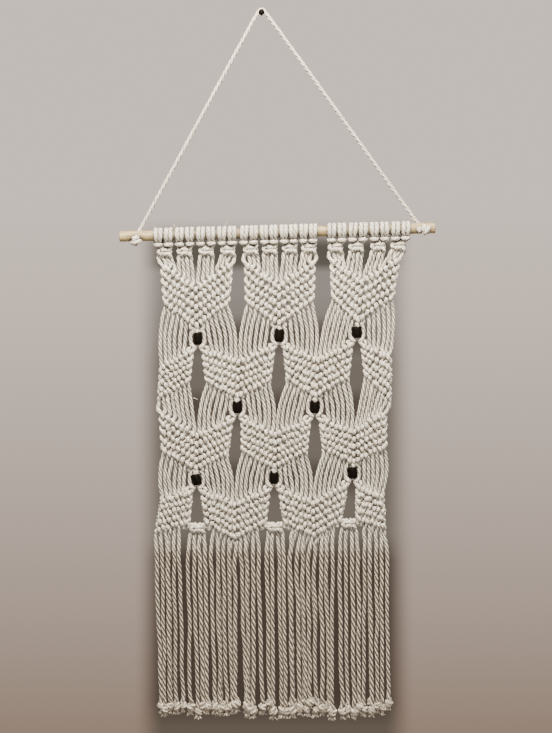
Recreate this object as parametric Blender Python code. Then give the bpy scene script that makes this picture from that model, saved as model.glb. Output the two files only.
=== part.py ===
"""Macrame wall hanging: forty-eight twisted cotton cords on a wooden dowel that hangs from a nail.

The origin is the centre of the nail's rear end, on the wall plane y = 0. +X is the viewer's right,
+Y goes into the wall and +Z is up. Sizes are in millimetres, and bake() turns them into metres.
"""

import math
import random

import bmesh
import bpy
from mathutils import Vector

MM = 0.001
GAP = 0.3  # what separate pieces leave between them

# The nail, along -Y from the wall.
NAIL_SHANK_R = 1.4
NAIL_HEAD_R = 2.9
NAIL_SHANK_REACH = 10.8
NAIL_HEAD_THICK = 1.5
NAIL_SIDES = 16

# The dowel, which hangs a little higher at its right end.
DOWEL_R = 5.0
DOWEL_LENGTH = 300.0
DOWEL_CENTRE = Vector((15.1, -10.4, -209.4))
DOWEL_TILT = math.radians(1.55)
DOWEL_SIDES = 24
DOWEL_CHAMFER = 0.6
HOLE_SIDES = 12

# The hanger cord goes through a drilled hole near each end and stops in a knot at the front.
HANGER_R = 2.1
HOLES = (
    # side, x of the hole, how far it slopes down towards the front, how far its knot sits to the side,
    # and the knot's half sizes along the dowel, along the hole and across both
    {"side": "left", "x": -117.5, "slope": math.radians(40), "aside": -1.5, "knot": (6.5, 3.8, 6.2)},
    {"side": "right", "x": 152.5, "slope": math.radians(15), "aside": 2.2, "knot": (5.4, 3.8, 5.4)},
)
KNOT_LUMP = 0.09  # how far a stopper knot's turns stand out, as a share of its half sizes
HANGER_ROUTE = (
    (-117.5, -14.2, -216.2),
    (-117.5, -12.6, -215.0),
    (-117.5, -10.4, -213.2),
    (-117.5, -8.0, -211.2),
    (-117.3, -6.0, -209.5),
    (-116.4, -4.6, -207.2),
    (-114.6, -4.1, -203.6),
    (-107.0, -4.1, -189.6),
    (-90.5, -4.3, -159.2),
    (-63.4, -4.6, -109.2),
    (-36.2, -4.8, -59.0),
    (-14.4, -5.0, -18.8),
    (-6.2, -5.0, -3.6),
    (-3.4, -5.0, 1.5),
    (-2.0, -5.0, 3.3),
    (0.0, -5.0, 4.0),
    (2.0, -5.0, 3.3),
    (3.5, -5.0, 1.6),
    (7.4, -5.0, -3.8),
    (18.6, -5.0, -19.4),
    (47.6, -4.6, -59.4),
    (83.7, -4.1, -109.4),
    (119.6, -3.4, -159.2),
    (141.4, -2.7, -189.4),
    (147.6, -2.4, -198.0),
    (150.6, -2.6, -201.6),
    (152.1, -3.3, -203.3),
    (152.5, -4.8, -204.3),
    (152.5, -7.6, -205.0),
    (152.5, -10.4, -205.7),
    (152.5, -13.0, -206.4),
    (152.5, -15.2, -207.0),
)

# The three groups of lark's head loops round the dowel: where each group starts and ends.
SLEEVES = (
    {"name": "left", "start": -103.3, "end": -23.3},
    {"name": "middle", "start": -20.5, "end": 53.8},
    {"name": "right", "start": 61.4, "end": 142.3},
)
SLEEVE_CORDS = 16
SLEEVE_SIDES = 8
SLEEVE_VALLEY_R = 7.3
SLEEVE_RIDGE_R = 8.3

# The knotted cloth hangs in a plane behind the dowel's front.
CLOTH_Y = -8.0
STRAND = 3.5  # a hanging cord's width and depth
STRAND_SHARE = 0.78  # or this share of its lane, where the lane is narrow
TAPER = 1.3  # how far below a knot a cord has its own width again

# The first row of square knots, one below each pair of lark's heads: their middles along the dowel.
FIRST_KNOTS = (
    {"sleeve": "left", "middles": (-92.2, -73.1, -52.4, -31.8)},
    {"sleeve": "middle", "middles": (-10.2, 8.0, 27.0, 45.3)},
    {"sleeve": "right", "middles": (70.5, 90.2, 111.0, 130.2)},
)
KNOT_CORDS = 4
FIRST_KNOT_PROFILE = (
    # drop below the dowel's axis, half width, front depth, back depth
    {"drop": 6.3, "half": 8.6, "front": 4.8, "back": 2.6},
    {"drop": 9.6, "half": 8.9, "front": 6.2, "back": 3.6},
    {"drop": 12.4, "half": 7.6, "front": 4.4, "back": 4.0},
    {"drop": 16.4, "half": 7.0, "front": 5.4, "back": 4.2},
    {"drop": 21.0, "half": 7.2, "front": 3.6, "back": 3.4},
)

# The chevron bands of hitched rows. A full chevron takes sixteen cords and a half
# takes eight. Each edge is its (x, z) corners from left to right.
BANDS = (
    {"row": 1, "first": 0, "upper": ((-97.5, -238.0), (-62.8, -260.0), (-26.5, -238.0)),
     "lower": ((-94.0, -278.0), (-61.4, -302.6), (-30.0, -278.0))},
    {"row": 1, "first": 16, "upper": ((-17.0, -237.0), (16.4, -258.2), (51.8, -235.6)),
     "lower": ((-16.0, -277.5), (16.8, -299.8), (50.8, -275.4))},
    {"row": 1, "first": 32, "upper": ((64.6, -233.6), (95.7, -253.4), (133.4, -232.6)),
     "lower": ((66.0, -272.8), (91.0, -297.0), (126.6, -272.4))},
    {"row": 2, "first": 0, "upper": ((-97.6, -336.0), (-63.4, -320.6)),
     "lower": ((-99.6, -370.4), (-67.4, -352.4))},
    {"row": 2, "first": 8, "upper": ((-57.4, -320.4), (-22.0, -329.4), (14.6, -317.8)),
     "lower": ((-53.8, -352.4), (-23.2, -368.6), (9.4, -351.4))},
    {"row": 2, "first": 24, "upper": ((19.8, -317.4), (53.8, -327.4), (86.8, -314.4)),
     "lower": ((23.2, -349.2), (51.0, -368.2), (84.2, -347.8))},
    {"row": 2, "first": 40, "upper": ((93.0, -313.8), (124.4, -326.0)),
     "lower": ((97.0, -346.0), (123.8, -372.0))},
    {"row": 3, "first": 0, "upper": ((-98.6, -376.4), (-61.4, -399.6), (-28.6, -387.8)),
     "lower": ((-95.8, -419.0), (-62.4, -437.2), (-31.4, -421.0))},
    {"row": 3, "first": 16, "upper": ((-19.6, -386.8), (13.1, -398.6), (46.4, -386.8)),
     "lower": ((-20.0, -418.6), (11.9, -435.8), (44.4, -418.2))},
    {"row": 3, "first": 32, "upper": ((53.0, -386.8), (88.1, -396.0), (119.6, -377.2)),
     "lower": ((57.6, -416.8), (87.4, -430.6), (120.0, -415.4))},
    {"row": 4, "first": 0, "upper": ((-96.4, -462.4), (-62.6, -454.4)),
     "lower": ((-102.8, -496.6), (-67.6, -486.8))},
    {"row": 4, "first": 8, "upper": ((-57.8, -454.4), (-25.9, -465.2), (9.4, -452.2)),
     "lower": ((-54.3, -486.8), (-25.9, -502.6), (5.4, -486.0))},
    {"row": 4, "first": 24, "upper": ((14.8, -452.0), (48.6, -464.2), (82.2, -446.8)),
     "lower": ((20.6, -486.6), (50.0, -500.8), (76.8, -484.0))},
    {"row": 4, "first": 40, "upper": ((88.0, -447.4), (117.2, -460.4)),
     "lower": ((89.6, -484.0), (119.0, -492.4))},
)
HALF_CHEVRON = 8
BAND_EDGE_Y = (-3.6, 3.4)  # front and back at a band's upper and lower edges, from the cloth's plane
BAND_VALLEY = -4.3
BAND_RIDGE = -5.6
BAND_BACK = 4.3
BAND_RIDGES = 3
RIDGE_SHARE = (0.3, 0.75, 1.0, 0.75)  # of a ridge's height, at a knot's four cords

# The beads. Two middle cords of the chevron above go through each.
BEAD_HALF_HEIGHT = 6.0
BEAD_R = 4.7
BEAD_END_R = 3.8
BEAD_HOLE_R = 3.1
BEAD_SIDES = 12
BEAD_RINGS = 4
BEADS = (
    {"row": 1, "left_cord": 7, "x": -60.8, "z": -310.2},
    {"row": 1, "left_cord": 23, "x": 16.9, "z": -307.2},
    {"row": 1, "left_cord": 39, "x": 90.8, "z": -304.2},
    {"row": 2, "left_cord": 15, "x": -22.9, "z": -375.8},
    {"row": 2, "left_cord": 31, "x": 50.8, "z": -375.4},
    {"row": 3, "left_cord": 7, "x": -62.0, "z": -444.4},
    {"row": 3, "left_cord": 23, "x": 11.9, "z": -442.9},
    {"row": 3, "left_cord": 39, "x": 86.6, "z": -437.8},
)
BEAD_CORD = {"middle": 1.15, "half_width": 1.0, "half_depth": 1.6}
BEAD_CORD_CLEAR = 0.5  # a cord has its bead section this far outside the bead

# The fringe strip under the last row. Three linking knots, of four cords each, close the openings.
LINKING_KNOTS = (
    {"x": -61.0, "half": 6.6, "top": -485.0, "bottom": -497.4},
    {"x": 13.0, "half": 7.6, "top": -484.2, "bottom": -496.6},
    {"x": 83.2, "half": 6.4, "top": -480.4, "bottom": -493.4},
)
ARM_CORDS = 6  # of each half chevron that hang straight down; the other two join a linking knot
STRIP_HEIGHT = 6.0
STRIP_DROP = 0.36  # the strip's top lies this far below the last bands
STRIP_EDGE_Y = (-3.4, 3.2)
STRIP_RIDGE = -5.0
LINKING_RIDGE = -6.2

# The fringe's strands, which end in overhand knots with a short frayed tuft.
FRINGE_SECTION = 3.2
FRINGE_END_X = (-97.4, 121.4)
FRINGE_END_Z = -671.0
FRINGE_UNEVEN = 4.0
FRINGE_SWAY = 2.75  # neighbours hang this far before and behind the cloth's plane at their ends
FRINGE_PROFILE = (
    # height above the strand's end, half width, half depth
    {"height": 9.0, "half": 1.6, "deep": 1.6},
    {"height": 6.0, "half": 3.0, "deep": 2.4},
    {"height": 2.4, "half": 1.7, "deep": 1.6},
    {"height": 0.0, "half": 2.3, "deep": 1.9},
)
FRINGE_SEED = 11


def material(name, colour, roughness, metallic=0.0):
    made = bpy.data.materials.new(name)
    made.use_nodes = True
    shader = made.node_tree.nodes["Principled BSDF"]
    shader.inputs["Base Color"].default_value = (*colour, 1.0)
    shader.inputs["Roughness"].default_value = roughness
    shader.inputs["Metallic"].default_value = metallic
    return made


def clear_scene():
    for obj in list(bpy.data.objects):
        bpy.data.objects.remove(obj)


def bake(name, bm, finish):
    """Makes an object in metres from a bmesh that is in millimetres."""
    bm.normal_update()
    bmesh.ops.recalc_face_normals(bm, faces=bm.faces)
    bmesh.ops.scale(bm, vec=(MM, MM, MM), verts=bm.verts)
    mesh = bpy.data.meshes.new(name)
    bm.to_mesh(mesh)
    bm.free()
    mesh.materials.append(finish)
    mesh.shade_smooth()
    mesh.set_sharp_from_angle(angle=math.radians(40))
    obj = bpy.data.objects.new(name, mesh)
    bpy.context.scene.collection.objects.link(obj)
    return obj


def helper(obj):
    """Keeps a Boolean's second shape out of the render and the build."""
    obj.hide_render = True
    obj.display_type = "WIRE"
    return obj


def boolean(obj, operation, other):
    modifier = obj.modifiers.new(operation.title(), "BOOLEAN")
    modifier.operation = operation
    modifier.object = other


def dowel_point(x):
    """The point of the dowel's axis at this x."""
    return DOWEL_CENTRE + Vector((x - DOWEL_CENTRE.x, 0, (x - DOWEL_CENTRE.x) * math.tan(DOWEL_TILT)))


def between(a, b, share):
    return a + (b - a) * share


def ring(bm, centre, half_width, half_depth):
    """Four new corners of a cord, in the order front left, front right, back right, back left."""
    x, y, z = centre
    corners = ((-1, -1), (1, -1), (1, 1), (-1, 1))
    return [bm.verts.new((x + i * half_width, y + j * half_depth, z)) for i, j in corners]


def skin(bm, sections):
    """Joins the sections of a cord, one after the other, with its four sides."""
    for upper, lower in zip(sections, sections[1:]):
        for i in range(4):
            j = (i + 1) % 4
            bm.faces.new((upper[i], upper[j], lower[j], lower[i]))


def knotted_solid(bm, rows, fronts, backs, back_rows):
    """Adds a knotted bar without its top and bottom, which cords or lids close.

    rows holds the (x, z) points of each row, fronts a y for each of those points, and backs a y for
    each of back_rows. Returns the (front, back) corners along the top and along the bottom."""
    near = [
        [bm.verts.new((x, CLOTH_Y + y, z)) for (x, z), y in zip(row, front)]
        for row, front in zip(rows, fronts)
    ]
    far = [
        [bm.verts.new((x, CLOTH_Y + y, z)) for x, z in rows[r]] for r, y in zip(back_rows, backs)
    ]
    for layers in (near, far):
        for upper, lower in zip(layers, layers[1:]):
            for c in range(len(upper) - 1):
                bm.faces.new((upper[c], upper[c + 1], lower[c + 1], lower[c]))
    for end in (0, -1):
        bm.faces.new([row[end] for row in near] + [row[end] for row in reversed(far)])
    return list(zip(near[0], far[0])), list(zip(near[-1], far[-1]))


def lane(edge, index):
    """The four corners that one cord has at a bar's edge, in ring()'s order."""
    (near_a, far_a), (near_b, far_b) = edge[index], edge[index + 1]
    return [near_a, near_b, far_b, far_a]


def lid(bm, edge, index):
    bm.faces.new(lane(edge, index))


def middle(corners):
    return sum((v.co for v in corners), Vector()) / len(corners)


def half_width(corners):
    return min(STRAND, STRAND_SHARE * (corners[1].co.x - corners[0].co.x)) / 2


def hang(bm, upper, lower):
    """A cord that hangs from one bar's lane to the next bar's lane."""
    start, end = middle(upper), middle(lower)
    leave = min(v.co.z for v in upper) - TAPER
    enter = max(v.co.z for v in lower) + TAPER
    if leave - enter < TAPER:
        leave = enter = (leave + enter) / 2
    sections = [upper]
    for z, corners in ((leave, upper), (enter, lower))[: 1 if leave == enter else 2]:
        place = between(start, end, (start.z - z) / (start.z - end.z))
        sections.append(ring(bm, (place.x, CLOTH_Y, z), half_width(corners), STRAND / 2))
    skin(bm, sections + [lower])


def thread(bm, upper, lower, bead, side):
    """A cord that goes through a bead: side is -1 for its left cord and 1 for its right one."""
    x = bead["x"] + side * BEAD_CORD["middle"]
    reach = BEAD_HALF_HEIGHT + BEAD_CORD_CLEAR
    sections = [
        ring(bm, (x, CLOTH_Y, z), BEAD_CORD["half_width"], BEAD_CORD["half_depth"])
        for z in (bead["z"] + reach, bead["z"] - reach)
    ]
    skin(bm, [upper, *sections, lower])


def along(corners, cords):
    """The (x, z) point at each side of each cord, shared out evenly between an edge's corners."""
    share = cords // (len(corners) - 1)
    points = []
    for a, b in zip(corners, corners[1:]):
        points += [tuple(between(Vector(a), Vector(b), i / share)) for i in range(share)]
    return points + [corners[-1]]


def first_knot(bm, x):
    """A square knot under two lark's heads, whose crossing bars are its widest row."""
    axis = dowel_point(x)
    rows, fronts, backs = [], [], []
    for level in FIRST_KNOT_PROFILE:
        offsets = [level["half"] * (2 * c / KNOT_CORDS - 1) for c in range(KNOT_CORDS + 1)]
        rows.append([(x + offset, axis.z - level["drop"]) for offset in offsets])
        fronts.append([-level["front"] * (0.8 if c % KNOT_CORDS == 0 else 1.0) for c in range(len(offsets))])
        backs.append(level["back"])
    top, bottom = knotted_solid(bm, rows, fronts, backs, range(len(rows)))
    for c in range(KNOT_CORDS):
        lid(bm, top, c)
    return bottom


def band_relief(row, column, columns):
    """How far a band's front stands out: three ridges, each a line of knots four cords wide."""
    if row in (0, 2 * BAND_RIDGES) or column in (0, columns):
        return BAND_EDGE_Y[0]
    if row % 2 == 0:
        return BAND_VALLEY
    knot = (column + 2 * (row // 2)) % KNOT_CORDS
    return BAND_VALLEY + (BAND_RIDGE - BAND_VALLEY) * RIDGE_SHARE[knot]


def band(bm, spec):
    """One chevron, or half of one. Returns its upper and lower edges."""
    cords = HALF_CHEVRON * (len(spec["upper"]) - 1)
    upper, lower = along(spec["upper"], cords), along(spec["lower"], cords)
    steps = 2 * BAND_RIDGES
    rows = [
        [tuple(between(Vector(a), Vector(b), r / steps)) for a, b in zip(upper, lower)]
        for r in range(steps + 1)
    ]
    fronts = [[band_relief(r, c, cords) for c in range(cords + 1)] for r in range(steps + 1)]
    backs = (BAND_EDGE_Y[1], BAND_BACK, BAND_EDGE_Y[1])
    return knotted_solid(bm, rows, fronts, backs, (0, BAND_RIDGES, steps))


def sleeve(spec, finish):
    """One group of lark's heads: a ridged tube round the dowel, a ridge for each cord."""
    bm = bmesh.new()
    turn = math.pi / SLEEVE_SIDES
    inner_r = (DOWEL_R + GAP) / math.cos(turn)
    angles = [turn + 2 * turn * i for i in range(SLEEVE_SIDES)]

    def circle(x, radius):
        axis = dowel_point(x)
        return [
            bm.verts.new((x, axis.y + radius * math.cos(a), axis.z + radius * math.sin(a))) for a in angles
        ]

    stations = 2 * SLEEVE_CORDS
    circles = [circle(spec["start"], inner_r)]
    for i in range(stations + 1):
        x = between(spec["start"], spec["end"], i / stations)
        circles.append(circle(x, SLEEVE_RIDGE_R if i % 2 else SLEEVE_VALLEY_R))
    circles.append(circle(spec["end"], inner_r))
    for a, b in zip(circles, circles[1:] + circles[:1]):
        for i in range(SLEEVE_SIDES):
            j = (i + 1) % SLEEVE_SIDES
            bm.faces.new((a[i], a[j], b[j], b[i]))
    return bake("sleeve_" + spec["name"], bm, finish)


def net(finish):
    """The whole knotted cloth, from the loops on the dowel to the last chevrons, as one solid."""
    bm = bmesh.new()
    hanging = []  # each cord's lane at the bottom of the last bar that it has left
    for group in FIRST_KNOTS:
        for x in group["middles"]:
            bottom = first_knot(bm, x)
            hanging += [lane(bottom, c) for c in range(KNOT_CORDS)]
    rows = sorted({spec["row"] for spec in BANDS})
    for row in rows:
        beads = {b["left_cord"]: b for b in BEADS if b["row"] == row - 1}
        for spec in (spec for spec in BANDS if spec["row"] == row):
            top, bottom = band(bm, spec)
            for c in range(len(top) - 1):
                cord = spec["first"] + c
                if cord in beads:
                    thread(bm, hanging[cord], lane(top, c), beads[cord], -1)
                elif cord - 1 in beads:
                    thread(bm, hanging[cord], lane(top, c), beads[cord - 1], 1)
                else:
                    hang(bm, hanging[cord], lane(top, c))
                hanging[cord] = lane(bottom, c)
                if row == rows[-1]:
                    lid(bm, bottom, c)
    cloth = bake("net", bm, finish)
    for spec in SLEEVES:
        boolean(cloth, "UNION", helper(sleeve(spec, finish)))
    return cloth


def arm(start, end):
    """The strip's columns along half a chevron, from one corner of its lower edge to the other."""
    places = (between(start, end, c / ARM_CORDS) for c in range(ARM_CORDS + 1))
    return [(p.x, p.y - STRIP_DROP, p.y - STRIP_DROP - STRIP_HEIGHT, STRIP_RIDGE) for p in places]


def strip_edge():
    """The strip's (x, top z, bottom z, ridge y) at each side of each of its forty-eight cords."""
    corners = [Vector(corner) for spec in BANDS if spec["row"] == 4 for corner in spec["lower"]]
    points = []
    for k, knot in enumerate(LINKING_KNOTS):
        left, inner_left, inner_right, right = corners[3 * k : 3 * k + 4]
        points += arm(left, inner_left) + linking_knot(knot) + arm(inner_right, right)[:-1]
    return points + arm(inner_right, right)[-1:]


def linking_knot(spec):
    """The strip's three inner columns at a linking knot."""
    inner = spec["half"] / 2
    return [
        (spec["x"] + offset, spec["top"], spec["bottom"], LINKING_RIDGE) for offset in (-inner, 0.0, inner)
    ]


def fringe(finish):
    """The strip parted from the cloth's foot, with its forty-eight strands."""
    bm = bmesh.new()
    edge = strip_edge()
    rows = [
        [(x, top) for x, top, bottom, ridge in edge],
        [(x, (top + bottom) / 2) for x, top, bottom, ridge in edge],
        [(x, bottom) for x, top, bottom, ridge in edge],
    ]
    rim = [STRIP_EDGE_Y[0]] * len(edge)
    fronts = [rim, [ridge for x, top, bottom, ridge in edge], rim]
    top, bottom = knotted_solid(bm, rows, fronts, (STRIP_EDGE_Y[1],) * 2, (0, 2))
    chance = random.Random(FRINGE_SEED)
    cords = len(edge) - 1
    for c in range(cords):
        lid(bm, top, c)
        root = lane(bottom, c)
        start = middle(root)
        leave = min(v.co.z for v in root) - 2 * TAPER
        end_x = between(*FRINGE_END_X, c / (cords - 1))
        end_z = FRINGE_END_Z + chance.uniform(-FRINGE_UNEVEN, FRINGE_UNEVEN)
        sway = FRINGE_SWAY if c % 2 else -FRINGE_SWAY
        sections = [root, ring(bm, (start.x, CLOTH_Y, leave), half_width(root), FRINGE_SECTION / 2)]
        halfway = (between(start.x, end_x, 0.6), CLOTH_Y + sway / 2, (leave + end_z) / 2)
        sections.append(ring(bm, halfway, FRINGE_SECTION / 2, FRINGE_SECTION / 2))
        for level in FRINGE_PROFILE:
            place = (end_x, CLOTH_Y + sway, end_z + level["height"])
            sections.append(ring(bm, place, level["half"], level["deep"]))
        skin(bm, sections)
        bm.faces.new(sections[-1])
    return bake("fringe", bm, finish)


def lathe(bm, profile, sides):
    """Turns a closed (radius, height) profile round Z."""
    circles = []
    for radius, height in profile:
        turns = [2 * math.pi * i / sides for i in range(sides)]
        circles.append(
            [bm.verts.new((radius * math.cos(a), radius * math.sin(a), height)) for a in turns]
        )
    for a, b in zip(circles, circles[1:] + circles[:1]):
        for i in range(sides):
            j = (i + 1) % sides
            bm.faces.new((a[i], a[j], b[j], b[i]))


def bead(index, spec, finish):
    """A barrel-shaped bead with a wide straight hole."""
    bm = bmesh.new()
    profile = [(BEAD_HOLE_R, BEAD_HALF_HEIGHT), (BEAD_HOLE_R, -BEAD_HALF_HEIGHT)]
    for i in range(BEAD_RINGS + 1):
        share = 2 * i / BEAD_RINGS - 1
        radius = BEAD_R - (BEAD_R - BEAD_END_R) * share * share
        profile.append((radius, BEAD_HALF_HEIGHT * share))
    lathe(bm, profile, BEAD_SIDES)
    bmesh.ops.translate(bm, vec=(spec["x"], CLOTH_Y, spec["z"]), verts=bm.verts)
    return bake(f"bead_{index}", bm, finish)


def cylinder(bm, radius, length, sides):
    """A cylinder along Z whose middle is the origin."""
    bmesh.ops.create_cone(
        bm, cap_ends=True, segments=sides, radius1=radius, radius2=radius, depth=length
    )


def dowel(finish):
    """The turned stick, with the two holes drilled through it for the hanger cord."""
    bm = bmesh.new()
    cylinder(bm, DOWEL_R, DOWEL_LENGTH, DOWEL_SIDES)
    rims = [e for e in bm.edges if abs(e.verts[0].co.z - e.verts[1].co.z) < GAP]
    bmesh.ops.bevel(bm, geom=rims, offset=DOWEL_CHAMFER, segments=1, affect="EDGES")
    for v in bm.verts:
        v.co = Vector((v.co.z, v.co.x, v.co.y))
    turn = Vector((math.cos(DOWEL_TILT), 0, math.sin(DOWEL_TILT)))
    for v in bm.verts:
        v.co = DOWEL_CENTRE + turn * v.co.x + Vector((-turn.z * v.co.z, v.co.y, turn.x * v.co.z))
    stick = bake("dowel", bm, finish)
    for hole in HOLES:
        drill = bmesh.new()
        cylinder(drill, HANGER_R + 0.42, 4 * DOWEL_R, HOLE_SIDES)
        lean = math.pi / 2 + hole["slope"]
        for v in drill.verts:
            y = v.co.y * math.cos(lean) - v.co.z * math.sin(lean)
            z = v.co.y * math.sin(lean) + v.co.z * math.cos(lean)
            v.co = dowel_point(hole["x"]) + Vector((v.co.x, y, z))
        boolean(stick, "DIFFERENCE", helper(bake("drill_" + hole["side"], drill, finish)))
    return stick


def nail(finish):
    bm = bmesh.new()
    reach = NAIL_SHANK_REACH + NAIL_HEAD_THICK
    profile = (
        (0.0, 0.0),
        (NAIL_SHANK_R, 0.0),
        (NAIL_SHANK_R, NAIL_SHANK_REACH),
        (NAIL_HEAD_R, NAIL_SHANK_REACH),
        (NAIL_HEAD_R, NAIL_SHANK_REACH + 0.5 * NAIL_HEAD_THICK),
        (0.7 * NAIL_HEAD_R, reach - 0.1 * NAIL_HEAD_THICK),
        (0.0, reach),
    )
    circles = []
    for radius, height in profile:
        turns = [2 * math.pi * i / NAIL_SIDES for i in range(NAIL_SIDES if radius else 1)]
        circles.append(
            [bm.verts.new((radius * math.cos(a), -height, radius * math.sin(a))) for a in turns]
        )
    for a, b in zip(circles, circles[1:]):
        for i in range(NAIL_SIDES):
            j = (i + 1) % NAIL_SIDES
            corners = (a[i % len(a)], a[j % len(a)], b[j % len(b)], b[i % len(b)])
            bm.faces.new(list(dict.fromkeys(corners)))
    return bake("nail", bm, finish)


def smooth(points, steps):
    """Points on a Catmull-Rom curve through the route, a few for each of its stretches."""
    route = [Vector(p) for p in points]
    ends = [2 * route[0] - route[1], *route, 2 * route[-1] - route[-2]]
    line = []
    for i in range(len(route) - 1):
        a, b, c, d = ends[i : i + 4]
        for s in range(steps):
            t = s / steps
            curve = 2 * b + (c - a) * t + (2 * a - 5 * b + 4 * c - d) * t**2
            line.append((curve + (3 * b - a - 3 * c + d) * t**3) / 2)
    return line + [route[-1]]


def hanger_cord(finish):
    """The single cord from one hole, over the nail, to the other hole."""
    line = smooth(HANGER_ROUTE, 2)
    curve = bpy.data.curves.new("hanger_cord", "CURVE")
    curve.dimensions = "3D"
    curve.bevel_depth = HANGER_R * MM
    curve.bevel_resolution = 2
    curve.use_fill_caps = True
    spline = curve.splines.new("POLY")
    spline.points.add(len(line) - 1)
    for point, place in zip(spline.points, line):
        point.co = (*(place * MM), 1)
    curve.materials.append(finish)
    obj = bpy.data.objects.new("hanger_cord", curve)
    bpy.context.scene.collection.objects.link(obj)
    return obj


def hanger_knot(spec, finish):
    """A stopper knot on a hole's mouth: a flattened ball whose turns stand out as slanting ridges."""
    bm = bmesh.new()
    bmesh.ops.create_uvsphere(bm, u_segments=12, v_segments=8, radius=1.0)
    wide, out, across = spec["knot"]
    axis = Vector((0, -math.cos(spec["slope"]), -math.sin(spec["slope"])))
    side = Vector((0, -axis.z, axis.y))
    seat = dowel_point(spec["x"]) + Vector((spec["aside"], 0, 0))
    centre = seat + axis * (DOWEL_R + GAP + out * (1 + KNOT_LUMP))
    for v in bm.verts:
        around = math.atan2(v.co.z, v.co.x)
        x, y, z = v.co * (1 + KNOT_LUMP * math.cos(3 * around + 2.2 * v.co.y))
        v.co = centre + Vector((x * wide, 0, 0)) + axis * (y * out) + side * (z * across)
    return bake("hanger_knot_" + spec["side"], bm, finish)


def main():
    clear_scene()
    cotton = material("cotton_cord", (0.78, 0.74, 0.66), 0.9)
    wood = material("pale_wood", (0.62, 0.52, 0.34), 0.6)
    stained = material("dark_stained_wood", (0.012, 0.007, 0.005), 0.35)
    steel = material("blackened_steel", (0.03, 0.03, 0.03), 0.4, 0.9)
    nail(steel)
    dowel(wood)
    hanger_cord(cotton)
    for spec in HOLES:
        hanger_knot(spec, cotton)
    net(cotton)
    fringe(cotton)
    for index, spec in enumerate(BEADS, 1):
        bead(index, spec, stained)


main()
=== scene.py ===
"""Macrame wall hanging: its twisted cotton cords, dowel, beads and nail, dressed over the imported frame.

Tables and routes are in millimetres and are turned into metres where a mesh is made. Lengths in the
panel are in metres, as Blender's own are.
"""

import math
import random

import bpy
import numpy as np
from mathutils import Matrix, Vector


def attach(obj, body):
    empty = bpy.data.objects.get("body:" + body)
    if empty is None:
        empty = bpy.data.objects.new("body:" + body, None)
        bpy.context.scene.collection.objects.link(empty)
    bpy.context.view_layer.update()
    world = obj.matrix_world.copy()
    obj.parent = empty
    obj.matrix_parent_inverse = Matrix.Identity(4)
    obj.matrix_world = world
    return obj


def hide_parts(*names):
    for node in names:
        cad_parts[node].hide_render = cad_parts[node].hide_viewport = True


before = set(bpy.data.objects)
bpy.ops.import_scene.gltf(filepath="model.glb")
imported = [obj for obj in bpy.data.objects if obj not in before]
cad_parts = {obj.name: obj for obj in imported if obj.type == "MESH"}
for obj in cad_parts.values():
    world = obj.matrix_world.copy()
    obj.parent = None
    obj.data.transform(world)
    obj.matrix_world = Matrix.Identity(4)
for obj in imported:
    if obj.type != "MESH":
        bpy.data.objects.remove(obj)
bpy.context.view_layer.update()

bl_info = {
    "name": "Macrame Wall Hanging",
    "version": (1, 0, 0),
    "blender": (4, 5, 0),
    "location": "3D View > Sidebar > Macrame",
    "description": "Ties a macrame wall hanging, cord by cord, on its dowel",
    "category": "Add Mesh",
}

MM = 0.001


def with_lower_half(upper):
    """Points from the top down to the middle, and then the same ones mirrored, from the middle down."""
    return (*upper, *((*place, -up) for *place, up in reversed(upper) if up))


# The dowel hangs a little higher at its right end.
DOWEL_R = 5.0
DOWEL_CENTRE = (15.1, -10.4, -209.4)
DOWEL_TILT = math.radians(1.55)

# The hanger cord's route, from the left knot through its hole, over the nail and to the right knot.
HANGER_ROUTE = (
    (-117.5, -14.2, -216.2),
    (-117.5, -12.6, -215.0),
    (-117.5, -10.4, -213.2),
    (-117.5, -8.0, -211.2),
    (-117.3, -6.0, -209.5),
    (-116.4, -4.6, -207.2),
    (-114.6, -4.1, -203.6),
    (-107.0, -4.1, -189.6),
    (-90.5, -4.3, -159.2),
    (-63.4, -4.6, -109.2),
    (-36.2, -4.8, -59.0),
    (-14.4, -5.0, -18.8),
    (-6.2, -5.0, -3.9),
    (-3.1, -5.0, 1.0),
    (-1.8, -5.0, 2.8),
    (0.0, -5.0, 3.4),
    (1.8, -5.0, 2.8),
    (3.2, -5.0, 1.1),
    (7.4, -5.0, -4.1),
    (18.6, -5.0, -19.4),
    (47.6, -4.6, -59.4),
    (83.7, -4.1, -109.4),
    (119.6, -3.4, -159.2),
    (141.4, -2.7, -189.4),
    (147.6, -2.4, -198.0),
    (150.6, -2.6, -201.6),
    (152.1, -3.3, -203.3),
    (152.5, -4.8, -204.3),
    (152.5, -7.6, -205.0),
    (152.5, -10.4, -205.7),
    (152.5, -13.0, -206.4),
    (152.5, -15.2, -207.0),
)

# The hanger cord's stopper knots: where the cord comes from, and the knot's middle, size and turn in
# degrees. The right one comes over a lump beside it.
STOPPERS = {
    "left": {"from": ((-117.5, -14.2, -216.2),), "middle": (-119.0, -17.2, -218.6), "size": 5.6, "turn": 40},
    "right": {"from": ((152.5, -15.2, -207.0), (149.2, -16.6, -205.8), (149.0, -18.6, -208.4)),
              "middle": (155.6, -18.2, -208.0), "size": 5.2, "turn": 80},
}

# How thin the cords are drawn out, as shares of a loose cord's thickness, and how far their plies then
# stand apart, where 1 is a loose cord's.
HANGER_PULLED, HANGER_SLACK = 0.86, 0.25
PULLED, SLACK = 0.82, 0.5  # the cords of the net
STRAND_DRAWN = (0.83, 0.99)  # the fringe's strands differ in thickness by this much

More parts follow.
